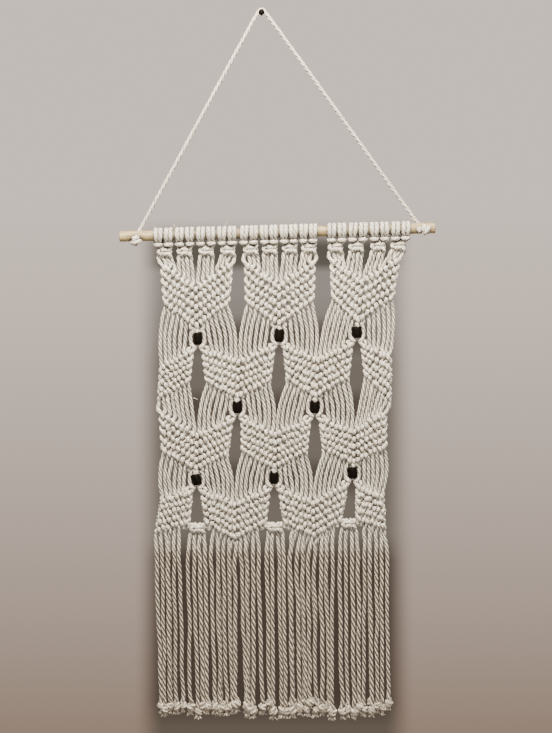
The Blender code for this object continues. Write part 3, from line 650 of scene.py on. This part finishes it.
class Weave:
    """Collects the corners, faces and UVs of one joined mesh, in millimetres."""

    def __init__(self):
        self.points = []
        self.slack = []
        self.faces = []
        self.uvs = []
        self.count = 0

    def tube(self, line, radii, turns, uv_along, slack=None, wraps=1.0):
        """Skins a line: radii has a row of corner distances for each ring, and turns a twist for each.
        Wraps is how often the second coordinate runs from 0 to 1 on the way round."""
        rings, sides = radii.shape
        tangents = np.gradient(line, axis=0)
        tangents /= np.linalg.norm(tangents, axis=1)[:, None]
        normal = Vector((0, -1, 0.1))
        normals = []
        for tangent in tangents.tolist():
            tangent = Vector(tangent)
            normal = (normal - tangent * normal.dot(tangent)).normalized()
            normals.append(normal[:])
        normals = np.array(normals)
        binormals = np.cross(tangents, normals)
        angles = 2 * math.pi * np.arange(sides)[None, :] / sides + np.asarray(turns)[:, None]
        around = (
            normals[:, None, :] * np.cos(angles)[:, :, None]
            + binormals[:, None, :] * np.sin(angles)[:, :, None]
        )
        corners = line[:, None, :] + around * radii[:, :, None]
        first = self.count
        self.points.append(corners.reshape(-1, 3))
        self.points.append(line[[0, -1]])
        slack = np.ones(rings) if slack is None else slack
        self.slack += [np.repeat(slack, sides), slack[[0, -1]]]
        ring, side = np.meshgrid(np.arange(rings - 1), np.arange(sides), indexing="ij")
        beside, above = (side + 1) % sides, ring + 1
        quads = [ring * sides + side, ring * sides + beside, above * sides + beside, above * sides + side]
        self.faces += (np.stack(quads, axis=-1).reshape(-1, 4) + first).tolist()
        u = np.asarray(uv_along)
        v = wraps * np.arange(sides + 1) / sides
        places = [(ring, side), (ring, side + 1), (above, side + 1), (above, side)]
        self.uvs.append(np.stack([np.stack([u[i], v[j]], -1) for i, j in places], axis=-2).reshape(-1, 2))
        start, end = first + rings * sides, first + rings * sides + 1
        last = first + (rings - 1) * sides
        for j in range(sides):
            k = (j + 1) % sides
            self.faces.append([start, first + k, first + j])
            self.faces.append([end, last + j, last + k])
            self.uvs.append(np.array([[u[0], v[j]]] * 3 + [[u[-1], v[j]]] * 3))
        self.count += rings * sides + 2

    def rope(self, line, cord, lead=0.0, pulled=1.0, slack=0.5):
        """A cord along a line, its plies laid so that they slant down to the right. Pulled is how thin
        it is drawn out, and slack is how far its plies stand apart."""
        radius = cord.diameter / MM / 2
        pulled = pulled * np.ones(len(line))
        run = np.concatenate([[0], np.cumsum(np.linalg.norm(np.diff(line, axis=0), axis=1))])
        turn = np.concatenate([[0], np.cumsum(np.diff(run) / pulled[1:])]) / (cord.lay / MM)
        lobes = np.abs(np.cos(PLIES / 2 * 2 * math.pi * np.arange(ROPE_SIDES) / ROPE_SIDES)) ** CREST
        tangents = np.gradient(line, axis=0)
        tangents /= np.linalg.norm(tangents, axis=1)[:, None]
        bend = np.linalg.norm(np.gradient(tangents, axis=0), axis=1) * len(line) / run[-1]
        tight = np.clip((bend - TIGHT["from"]) / TIGHT["over"], 0, 1)
        tight = np.convolve(tight, np.ones(TIGHT["rings"]) / TIGHT["rings"], mode="same")
        grooves = cord.groove * np.outer(1 - TIGHT["groove"] * tight, 1 - lobes)
        radii = radius * (pulled + TIGHT["wider"] * tight * (pulled < 1))[:, None] * (1 - grooves)
        slack = slack * (1 - tight * (TIGHT["slack"] - slack))
        self.tube(line, radii, lead - 2 * math.pi * turn, turn, slack)

    def fibre(self, line, radius):
        """A thin frayed yarn, which tapers to its end."""
        taper = np.linspace(1.0, YARN["tip"], len(line))
        radii = radius * np.tile(taper[:, None], (1, YARN["sides"]))
        self.tube(line, radii, np.zeros(len(line)), np.zeros(len(line)), wraps=0.0)

    def piece(self, name, material):
        """The mesh as a smooth object in metres that rides on the root body."""
        mesh = bpy.data.meshes.new(name)
        mesh.from_pydata((np.vstack(self.points) * MM).tolist(), [], self.faces)
        layer = mesh.uv_layers.new(name="along_and_around")
        layer.uv.foreach_set("vector", np.vstack(self.uvs).astype(np.float32).ravel())
        slack = mesh.attributes.new("slack", "FLOAT", "POINT")
        slack.data.foreach_set("value", np.concatenate(self.slack).astype(np.float32))
        mesh.shade_smooth()
        mesh.materials.append(material)
        obj = bpy.data.objects.new(name, mesh)
        bpy.context.scene.collection.objects.link(obj)
        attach(obj, "root")
        return obj


def edge_point(corners, share):
    """The (x, z) of a chevron's edge at this share of its cords."""
    stations = np.linspace(0, 1, len(corners))
    return np.array([np.interp(share, stations, values) for values in zip(*corners)])


def band_point(spec, share, depth):
    """The (x, z) of a chevron at this share of its cords and of its height, from the top."""
    upper, lower = edge_point(spec["upper"], share), edge_point(spec["lower"], share)
    return upper + (lower - upper) * depth


def arms(spec):
    """The lanes of each arm of a chevron, from its upper end to its lower."""
    lanes = range(spec["first"], spec["first"] + HALF_CHEVRON)
    if len(spec["upper"]) == 3:
        return [lanes, range(lanes[-1] + HALF_CHEVRON, lanes[-1], -1)]
    return [lanes if spec["upper"][0][1] > spec["upper"][1][1] else lanes[::-1]]


def lane_share(spec, lane):
    """How far along a chevron's width the middle of a lane lies."""
    return (lane + 0.5 - spec["first"]) / (HALF_CHEVRON * (len(spec["upper"]) - 1))


def loop_middle(cord):
    """Where a cord's loop lies along the dowel."""
    group = HEAD_GROUPS[cord // GROUP_CORDS]
    share = (cord % GROUP_CORDS) / (GROUP_CORDS - 1)
    drawn_in = ((KNOT_CORDS - 1) / 2 - cord % KNOT_CORDS) * CLUSTER_GAP / KNOT_CORDS
    drawn_in += (0.5 - cord % 2) * HEAD_GAP / 2
    return group["first"] + (group["last"] - group["first"]) * share + drawn_in


def head_points(cord, chance):
    """One half of a lark's head: even cords are its left half and odd ones its right."""
    side = 1 if cord % 2 else -1
    x = loop_middle(cord)
    middle = (x + loop_middle(cord - side)) / 2
    across, out, up = BAR_MIDDLE
    points = [dowel_point(middle) + (across, -out, up)]
    lean = chance.stray(HEAD_LEAN)
    for across, out, up in LARKS_HEAD:
        points.append(dowel_point(x) + (side * across + lean * up, -out, up))
    return points


class Hanging:
    """The cords while they are tied: which cord hangs in each lane, and each cord's route so far."""

    def __init__(self, chance, diameter):
        self.chance = chance
        self.diameter = diameter
        self.lanes = list(range(CORDS))
        self.routes = [head_points(cord, chance) for cord in self.lanes]

    def route(self, lane):
        """The route of the cord that hangs in this lane."""
        return self.routes[self.lanes[lane]]

    def swap(self, lane, other):
        """Lets the cords of two lanes change places."""
        self.lanes[lane], self.lanes[other] = self.lanes[other], self.lanes[lane]

    def point(self, x, z, out=0.0):
        """A point so many cord diameters in front of the cloth's plane."""
        return (x, CLOTH_Y - out * self.diameter, z)

    def hang_to(self, route, end, before=0):
        """Lets a cord hang nearly straight to the next point, a little off the line if it is far. Before
        is 1 or -1 for cords that hang in front of their neighbours or behind them."""
        start, end = np.array(route[-1]), np.array(end)
        if np.linalg.norm(end - start) > WAVE["over"] * self.diameter:
            middle = (start + end) / 2
            level = [bead for bead in BEADS if abs(bead["z"] - middle[2]) < BOW["up"]]
            off = [middle[0] - bead["x"] for bead in level if abs(bead["x"] - middle[0]) < BOW["across"]]
            bow = 0.0
            if off:
                bow = np.clip((abs(off[0]) - BOW["straight"]) * BOW["rate"], BOW["least"], BOW["most"])
                bow = math.copysign(1, off[0]) * bow
            for share in WAVE["at"]:
                across = bow * 4 * share * (1 - share) + self.chance.stray(WAVE["across"])
                back = self.chance.stray(WAVE["back"]) - WAVE["apart"] * before
                route.append(start + (end - start) * share + (across, back, 0))
        route.append(end)

    def tie_knot(self, knot):
        """Ties four cords into a square knot."""
        for order, template in enumerate(SQUARE_KNOT):
            route = self.route(knot["first"] + order)
            points = []
            for across, out, up in template:
                x, z = knot["x"] + across * knot["spacing"], knot["z"] + up * knot["half_height"]
                points.append(self.point(x, z, out))
            self.hang_to(route, points[0])
            route += points[1:]

    def hitch(self, cord, place, half, slope=0.0, side=1):
        """Hitches a cord at this place of a row, whose half height is given."""
        lean = -HITCH_LEAN * slope + self.chance.stray(HITCH_TILT)
        reach = (HITCH_FILL * half - self.diameter / 2) / HITCH_TURN * self.chance.uniform(*HITCH_SIZES)
        bulge = self.chance.uniform(*HITCH_SIZES)
        for along, out, up in HITCH:
            along *= side * self.diameter
            x = place[0] + along * math.cos(slope) - up * reach * math.sin(lean)
            z = place[1] + along * math.sin(slope) + up * reach * math.cos(lean)
            self.routes[cord].append(self.point(x, z, out * bulge))

    def tie_row(self, spec, row):
        """Ties one row of a chevron: in each arm the outer cord becomes the carrier, and the others are
        hitched round it and move over by one lane."""

        def place(lane):
            return band_point(spec, lane_share(spec, lane), (row + 0.5) / ROWS)

        def half(lane):
            top, bottom = (band_point(spec, lane_share(spec, lane), depth) for depth in (0, 1))
            return (top[1] - bottom[1]) / ROWS / 2

        def carry(carrier, lane, side, rise, steps):
            """Takes a carrier along steps round the row's place at a lane."""
            x, z = place(lane)
            for across, out, up in steps:
                point = self.point(x + side * across * self.diameter, z + up * rise, out)
                self.routes[carrier].append(point)

        ends = []
        for arm in arms(spec):
            side = 1 if arm[-1] > arm[0] else -1
            carrier, *workers = [self.lanes[lane] for lane in arm]
            carry(carrier, arm[0] - side / 2, side, half(arm[0]), CARRIER_IN[min(row, 1)])
            for step, cord in enumerate(workers, 1):
                spot = arm[step] - side / 2
                before, here, after = place(spot - 0.5), place(spot), place(spot + 0.5)
                slope = math.atan2(after[1] - before[1], after[0] - before[0])
                self.routes[carrier].append(self.point(*here))
                here = here + [self.chance.stray(reach) for reach in HITCH_STRAY]
                self.hitch(cord, here, half(spot), slope, side)
                self.lanes[arm[step - 1]] = cord
            self.lanes[arm[-1]] = carrier
            ends.append((arm[-1], side, carrier))
        if len(ends) == 2:
            # The two carriers cross in the middle: the right one is hitched round the left one.
            (left_lane, _, under), (right_lane, _, over) = ends
            middle = left_lane + 0.5
            carry(under, middle, 1, half(middle), CARRIERS_CROSS)
            self.hitch(over, place(middle), half(middle))
            self.swap(left_lane, right_lane)
        else:
            lane, side, carrier = ends[0]
            carry(carrier, lane + side / 2, side, half(lane), CARRIER_OUT)

    def tie_chevron(self, spec):
        """Ties one chevron, row by row."""
        used = [lane for arm in arms(spec) for lane in arm]
        carried = [arm[0] for arm in arms(spec)]
        for lane in used:
            if lane not in carried:
                x, z = band_point(spec, lane_share(spec, lane), 0)
                self.hang_to(self.route(lane), self.point(x, z + ABOVE_BAND), 1 - 2 * (lane % 2))
        for row in range(ROWS):
            self.tie_row(spec, row)
        x, z = band_point(spec, 0.5, 1)
        below = [bead for bead in BEADS if abs(bead["x"] - x) < LAST_CROSS["near"]]
        if any(0 < z - bead["z"] < LAST_CROSS["above"] for bead in below):
            left, right = used[HALF_CHEVRON - 1], used[-1]
            z -= LAST_CROSS["drop"]
            beside = x + LAST_CROSS["across"] * self.diameter
            under = self.point(beside, z - LAST_CROSS["down"], LAST_CROSS["out"])
            self.route(left).extend([self.point(x, z), under])
            self.hitch(self.lanes[right], (x, z), LAST_CROSS["half_height"])
            self.swap(left, right)
            used = [lane for lane in used if lane not in (left, right)]
        for lane in used:
            x, z = band_point(spec, lane_share(spec, lane), 1)
            self.route(lane).append(self.point(x, z - BELOW_BAND))

    def thread_bead(self, bead):
        """Threads two neighbouring cords through a bead, and bows the next one on each side round it.
        These cross over the threaded ones below the bead, and so change lanes with them."""
        for side, lane in ((-1, bead["left_cord"] - 1), (1, bead["left_cord"] + 2)):
            for up, across in BESIDE:
                last = (up, across) == BESIDE[-1]
                out = BESIDE_OUT if last else self.chance.stray(BESIDE_STRAY["out"])
                x = bead["x"] + side * (across + self.chance.stray(BESIDE_STRAY["across"]))
                self.route(lane).append(self.point(x, bead["z"] + up, out))
        reach = bead["half_height"] + BEAD_CORD["clear"]
        for side in (-1, 1):
            threaded = bead["left_cord"] + (side + 1) // 2
            route = self.route(threaded)
            x = bead["x"] + side * BEAD_CORD["off"]
            self.hang_to(route, self.point(x, bead["z"] + reach))
            route += [self.point(x, bead["z"] + up) for up in (0, -reach)]
            x, z = bead["x"] + side * BEAD_CORD["across"], bead["z"] - reach - BEAD_CORD["down"]
            route.append(self.point(x, z, BEAD_CORD["out"]))
            self.swap(threaded, threaded + side)


def fringe_place(lane, chance):
    """Where a strand of the fringe hangs: its x at the top and at the end, and its y."""
    ahead = [place for place in range(CORDS) if place not in FRINGE_BEHIND]
    places = [i + FRINGE_PARTS["gap"] * sum(place >= part for part in FRINGE_PARTS["lanes"])
              for i, place in enumerate(ahead)]
    share = places[ahead.index(lane if lane in ahead else lane - 1)] / places[-1]
    top, end = (left + (right - left) * share for left, right in (FRINGE_TOP_X, FRINGE_END_X))
    top += chance.stray(FRINGE_STRAY["top"])
    end += chance.gauss(0, FRINGE_STRAY["end"])
    return top, end, CLOTH_Y + (0.0 if lane in ahead else FRINGE_BACK)


def strand_points(start, lane, chance, diameter):
    """A fringe strand below the last knot, down to its overhand knot. It soon comes to its own place and
    then hangs nearly plumb."""
    start = np.array(start)
    top, end, y = fringe_place(lane, chance)
    y += chance.stray(FRINGE_STRAY["back"])
    z = FRINGE_END_Z + OVERHAND_UP + chance.uniform(*STRAND["ends"]) * FRINGE_UNEVEN
    middle = np.array((end, y, z))
    points = []
    for share in STRAND["at"]:
        gather = (1 - share) ** STRAND["gather"]
        x = top + (end - top) * share + (start[0] - top) * gather + chance.stray(STRAND["across"])
        back = y + (start[1] - y) * gather + chance.stray(STRAND["back"])
        points.append((x, back, start[2] + (z - start[2]) * share))
    turn, tilt = (chance.stray(OVERHAND_STRAY[name]) for name in ("turn", "tilt"))
    size = diameter * chance.uniform(*OVERHAND_STRAY["sizes"])
    for across, out, up in OVERHAND:
        x = across * math.cos(turn) - out * math.sin(turn)
        y = across * math.sin(turn) + out * math.cos(turn)
        if abs(up) < 1:
            x, up = x * math.cos(tilt) - up * math.sin(tilt), x * math.sin(tilt) + up * math.cos(tilt)
        points.append(middle + np.array((x, -y, up)) * size)
    return points


def tie_hanging(chance, diameter):
    """The route of each cord, from the middle of its lark's head's bar to its end."""
    hanging = Hanging(chance, diameter)
    for index, x in enumerate(FIRST_KNOTS):
        z = dowel_height(x) - FIRST_KNOT["drop"]
        hanging.tie_knot({**FIRST_KNOT, "first": index * KNOT_CORDS, "x": x, "z": z})
    steps = [(max(z for _, z in spec["upper"]), hanging.tie_chevron, spec) for spec in BANDS]
    steps += [(spec["z"], hanging.thread_bead, spec) for spec in BEADS]
    steps += [(spec["z"], hanging.tie_knot, spec) for spec in LINKING_KNOTS]
    for _, tie, spec in sorted(steps, key=lambda step: -step[0]):
        tie(spec)
    for lane in range(CORDS):
        route = hanging.route(lane)
        route += strand_points(route[-1], lane, chance, diameter)
    return hanging.routes


def press_on_dowel(points):
    """Flattens what is wound round the dowel, so that it lies on the wood and not in it."""
    loops = np.array([loop_middle(cord) for cord in range(CORDS)])
    axis_z = dowel_height(points[:, 0])
    y, z = points[:, 1] - DOWEL_CENTRE[1], points[:, 2] - axis_z
    distance = np.hypot(y, z)
    pressed = DOWEL_R + PRESS["clear"] + np.maximum(0, distance - PRESS["core"]) * PRESS["rate"]
    share = np.clip((z + PRESS["depth"]) / PRESS["fade"], 0, 1) * (distance < PRESS["reach"])
    scale = 1 + (pressed / np.maximum(distance, 1e-6) - 1) * share
    points[:, 1] = DOWEL_CENTRE[1] + y * scale
    points[:, 2] = axis_z + z * scale
    loop = loops[np.abs(points[:, :1] - loops).argmin(axis=1)]
    points[:, 0] = loop + (points[:, 0] - loop) * (1 + (LOOP_SPREAD - 1) * share)


def tuft(weave, end, chance):
    """The frayed yarns below an overhand knot."""
    for _ in range(TUFT["yarns"]):
        lean = np.array([*(chance.gauss(0, spread) for spread in TUFT["lean"]), -1.0])
        length = chance.uniform(*TUFT["length"])
        bend = np.array([chance.gauss(0, TUFT["bend"]), chance.gauss(0, TUFT["bend"]), 0])
        root = end + [chance.stray(TUFT["reach"]), chance.stray(TUFT["reach"]), TUFT["above"]]
        shares = np.linspace(0, 1, YARN["rings"])[:, None]
        line = root + lean * length * shares + bend * length * 0.5 * shares**2
        weave.fibre(line, chance.uniform(*TUFT["radius"]))


class MACRAME_OT_knotted_cords(bpy.types.Operator):
    """Tie the cords on the dowel, in six groups of eight, down to the knots in the fringe"""

    bl_idname = "macrame.knotted_cords"
    bl_label = "Knotted cords"

    def execute(self, context):
        cord = context.scene.macrame_cord
        chance = Chance(SEED)
        routes = tie_hanging(chance, cord.diameter / MM * (1 + PULLED) / 2)
        material = bpy.data.materials["twisted_cotton"]
        for piece, first in enumerate(range(0, CORDS, STRANDS_A_PIECE)):
            weave = Weave()
            for left in range(first, first + STRANDS_A_PIECE, 2):
                line = smooth_line(routes[left][:0:-1] + routes[left + 1], cord.step / MM)
                loose = np.interp(line[:, 2], (FRINGE_TOP_Z - LOOSEN_OVER, FRINGE_TOP_Z), (1, 0))
                ends = [chance.uniform(*STRAND_DRAWN) for _ in range(2)]
                drawn = np.interp(np.arange(len(line)), (0, len(line)), ends)
                weave.rope(line, cord, lead=chance.uniform(0, MOST_LEAD),
                           pulled=PULLED + (drawn - PULLED) * loose, slack=SLACK + (1 - SLACK) * loose)
                for end in (line[0], line[-1]):
                    tuft(weave, end, chance)
            for points in weave.points:
                press_on_dowel(points)
            for owner, start, end in STRAY_THREADS:
                if owner == piece:
                    weave.fibre(smooth_line((start, end), THREAD_STEP), THREAD_R)
            obj = weave.piece(f"cords_{piece + 1}", material)
            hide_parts("net", "fringe")
        return {"FINISHED"}


class MACRAME_OT_hanger(bpy.types.Operator):
    """Hang the hanger cord over the nail and stop it in a knot at each hole"""

    bl_idname = "macrame.hanger"
    bl_label = "Hanger cord"

    def execute(self, context):
        cord = context.scene.macrame_cord
        material = bpy.data.materials["twisted_cotton"]
        line = smooth_line(HANGER_ROUTE, cord.step / MM)
        weave = Weave()
        weave.rope(line, cord, pulled=HANGER_PULLED, slack=HANGER_SLACK)
        hanger = weave.piece("hanger_rope", material)
        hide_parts("hanger_cord")
        for name, stopper in STOPPERS.items():
            weave = Weave()
            route = [np.array(place) for place in stopper["from"]]
            for across, out, up in OVERHAND[1:-1]:
                turn = math.radians(stopper["turn"])
                x = across * math.cos(turn) - up * math.sin(turn)
                z = across * math.sin(turn) + up * math.cos(turn)
                route.append(np.array(stopper["middle"]) + np.array((x, -out, z)) * stopper["size"])
            weave.rope(smooth_line(route, cord.step / MM), cord)
            obj = weave.piece(f"stopper_{name}", material)
            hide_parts(f"hanger_knot_{name}")
        return {"FINISHED"}


class MACRAME_OT_woodwork(bpy.types.Operator):
    """Finish the dowel and turn the beads"""

    bl_idname = "macrame.woodwork"
    bl_label = "Dowel and beads"

    def execute(self, context):
        settings = context.scene.macrame_wood
        give_material("dowel", sanded_wood_material(settings))
        stained = stained_wood_material(settings)
        for index, bead in enumerate(BEADS, 1):
            weave = Weave()
            across, up = np.array(BEAD_OUTLINE).T
            turn = math.radians(bead["turn"])
            run = up[:, None] * bead["half_height"] * np.array((math.sin(turn), 0, math.cos(turn)))
            radii = np.tile(across[:, None] * bead["radius"], (1, BEAD_SIDES))
            weave.tube((bead["x"], CLOTH_Y, bead["z"]) + run, radii, np.zeros(len(up)), up)
            obj = weave.piece(f"turned_bead_{index}", stained)
            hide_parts(f"bead_{index}")
        return {"FINISHED"}


class MACRAME_OT_nail(bpy.types.Operator):
    """Blacken the nail"""

    bl_idname = "macrame.nail"
    bl_label = "Nail"

    def execute(self, context):
        give_material("nail", blackened_steel_material())
        return {"FINISHED"}


def give_material(node, material):
    """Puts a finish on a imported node, whose shape stays."""
    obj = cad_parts[node]
    obj.data.materials.clear()
    obj.data.materials.append(material)


def board(name, material, place, reach, upright):
    """A flat board of the stage, lying or upright."""
    across, up = reach
    corners = [(-across, -up), (across, -up), (across, up), (-across, up)]
    mesh = bpy.data.meshes.new(name)
    mesh.from_pydata([(x, 0, z) if upright else (x, z, 0) for x, z in corners], [], [(0, 1, 2, 3)])
    mesh.materials.append(material)
    obj = bpy.data.objects.new(name, mesh)
    obj.location = place
    bpy.context.scene.collection.objects.link(obj)


def backdrop_material(stage):
    """A plain backdrop that glows evenly, lighter above, with the soft shade of the hanging painted on it."""
    material, tree, shader = new_material("painted_backdrop")
    where = add_node(tree, "ShaderNodeNewGeometry")
    place = add_node(tree, "ShaderNodeSeparateXYZ", links={0: where.outputs["Position"]})
    low, high = BACKDROP["fade"]
    height = add_node(tree, "ShaderNodeMapRange", inputs={1: low, 2: high}, links={0: place.outputs["Z"]})
    paint = add_node(tree, "ShaderNodeMix", {"data_type": "RGBA"},
                     {"A": (*stage.backdrop_low, 1), "B": (*stage.backdrop, 1)},
                     {"Factor": height.outputs[0]})
    # The hanging's own sizes, as they spread from the camera's eye to the backdrop.
    spread = (stage.distance + stage.backdrop_distance) / stage.distance
    behind = []
    for axis, (middle, reach) in (("X", SHADE_X), ("Z", SHADE_Z), ("X", ROW_SHADE_X)):
        eye = CAMERA_X if axis == "X" else CAMERA_Z
        off = add_node(tree, "ShaderNodeMath", {"operation": "SUBTRACT"}, {1: eye + (middle - eye) * spread},
                       {0: place.outputs[axis]})
        far = add_node(tree, "ShaderNodeMath", {"operation": "ABSOLUTE"}, links={0: off.outputs[0]})
        behind.append(add_node(
            tree, "ShaderNodeMapRange", {"interpolation_type": "SMOOTHSTEP"},
            {1: reach * spread, 2: (reach + SHADE_FADE) * spread, 3: 1.0, 4: 0.0}, {0: far.outputs[0]},
        ))
    shade = add_node(tree, "ShaderNodeMath", {"operation": "MULTIPLY"},
                     links={0: behind[0].outputs[0], 1: behind[1].outputs[0]})
    # Both ramps span a metre of height at the hanging, with the camera's height in their middle.
    level = add_node(tree, "ShaderNodeMapRange",
                     inputs={1: CAMERA_Z - 0.5 * spread, 2: CAMERA_Z + 0.5 * spread},
                     links={0: place.outputs["Z"]})
    dark = add_node(tree, "ShaderNodeValToRGB", links={"Fac": level.outputs[0]})
    add_stops(dark, [(0.5 + up, getattr(stage, name)) for up, name in SHADE_STEPS])
    rows = add_node(tree, "ShaderNodeValToRGB", links={"Fac": level.outputs[0]})
    add_stops(rows, greys((0.5 + row + up, depth) for row in BEAD_ROWS for up, depth in ROW_SHADE))
    narrow = add_node(tree, "ShaderNodeMath", {"operation": "MULTIPLY"},
                      links={0: rows.outputs["Color"], 1: behind[2].outputs[0]})
    deep = add_node(tree, "ShaderNodeMix", {"data_type": "RGBA"}, {"B": (*stage.fringe_shade, 1)},
                    {"Factor": narrow.outputs[0], "A": dark.outputs["Color"]})
    tone = add_node(tree, "ShaderNodeMix", {"data_type": "RGBA"}, links={
        "Factor": shade.outputs[0], "A": paint.outputs["Result"], "B": deep.outputs["Result"],
    })
    fill(tree, shader, {"Emission Strength": 1.0, "Base Color": (0, 0, 0, 1), "Roughness": 1.0},
         {"Emission Color": tone.outputs["Result"]})
    return material


def area_light(name, place, aim, size, power, colour):
    """A soft light from a rectangle of this size, aimed at a point."""
    light = bpy.data.lights.new(name, "AREA")
    light.shape = "RECTANGLE"
    light.size, light.size_y = size
    light.energy = power
    light.color = linear(colour)
    obj = bpy.data.objects.new(name, light)
    obj.location = place
    obj.rotation_euler = (Vector(aim) - Vector(place)).to_track_quat("-Z", "Y").to_euler()
    bpy.context.scene.collection.objects.link(obj)


class MACRAME_OT_stage(bpy.types.Operator):
    """Set up the camera, the soft light and the pale floor"""

    bl_idname = "macrame.stage"
    bl_label = "Stage"

    def execute(self, context):
        stage = context.scene.macrame_stage
        camera = bpy.data.cameras.new("camera")
        camera.sensor_width = 36.0
        camera.lens = camera.sensor_width * stage.distance / stage.frame_height
        eye = bpy.data.objects.new("camera", camera)
        eye.location = (CAMERA_X, CLOTH_Y * MM - stage.distance, CAMERA_Z)
        eye.rotation_euler = (math.pi / 2, 0, 0)
        context.scene.collection.objects.link(eye)
        context.scene.camera = eye

        world = bpy.data.worlds.new("soft_room")
        world.use_nodes = True
        tree = world.node_tree
        where = add_node(tree, "ShaderNodeTexCoord")
        place = add_node(tree, "ShaderNodeSeparateXYZ", links={0: where.outputs["Generated"]})
        height = add_node(tree, "ShaderNodeMapRange", inputs={1: -0.5, 2: 0.5}, links={0: place.outputs["Z"]})
        air = add_node(tree, "ShaderNodeMix", {"data_type": "RGBA"},
                       {"A": (*stage.air_low, 1), "B": (*stage.air, 1)}, {"Factor": height.outputs[0]})
        fill(tree, tree.nodes["Background"], {"Strength": AIR_STRENGTH}, {"Color": air.outputs["Result"]})
        context.scene.world = world

        for light in LIGHTS:
            area_light(**light)

        floor, tree, shader = new_material("pale_floor")
        fill(tree, shader, {"Base Color": (*stage.floor, 1), "Roughness": 0.8})
        board("floor", floor, (0, 0, -stage.floor_drop), FLOOR_REACH, upright=False)
        far = (0, stage.backdrop_distance, BACKDROP["middle"])
        board("backdrop", backdrop_material(stage), far, BACKDROP["reach"], upright=True)
        return {"FINISHED"}


class MACRAME_OT_cotton(bpy.types.Operator):
    """Make the cotton that all the cords share"""

    bl_idname = "macrame.cotton"
    bl_label = "Cotton"

    def execute(self, context):
        cotton_material(context.scene.macrame_cord)
        return {"FINISHED"}


OPERATORS = (
    MACRAME_OT_stage,
    MACRAME_OT_cotton,
    MACRAME_OT_hanger,
    MACRAME_OT_knotted_cords,
    MACRAME_OT_woodwork,
    MACRAME_OT_nail,
)


class MACRAME_PT_panel(bpy.types.Panel):
    """The sizes and colours, and a button for each step"""

    bl_idname = "MACRAME_PT_panel"
    bl_label = "Macrame wall hanging"
    bl_space_type = "VIEW_3D"
    bl_region_type = "UI"
    bl_category = "Macrame"

    def draw(self, context):
        for name in SETTINGS:
            group = getattr(context.scene, name)
            box = self.layout.box()
            for prop in group.__annotations__:
                box.prop(group, prop)
        for operator in OPERATORS:
            self.layout.operator(operator.bl_idname)


SETTINGS = {"macrame_cord": CordSettings, "macrame_wood": WoodSettings, "macrame_stage": StageSettings}
CLASSES = (*SETTINGS.values(), *OPERATORS, MACRAME_PT_panel)


def register():
    """Makes the classes and the scene's settings known."""
    for cls in CLASSES:
        bpy.utils.register_class(cls)
    for name, group in SETTINGS.items():
        setattr(bpy.types.Scene, name, bpy.props.PointerProperty(type=group))


def unregister():
    """Takes back what register did."""
    for name in SETTINGS:
        delattr(bpy.types.Scene, name)
    for cls in reversed(CLASSES):
        bpy.utils.unregister_class(cls)


def main():
    """Dresses the frame, one operator after the other."""
    register()
    for operator in OPERATORS:
        package, name = operator.bl_idname.split(".")
        getattr(getattr(bpy.ops, package), name)()


if __name__ == "__main__":
    main()
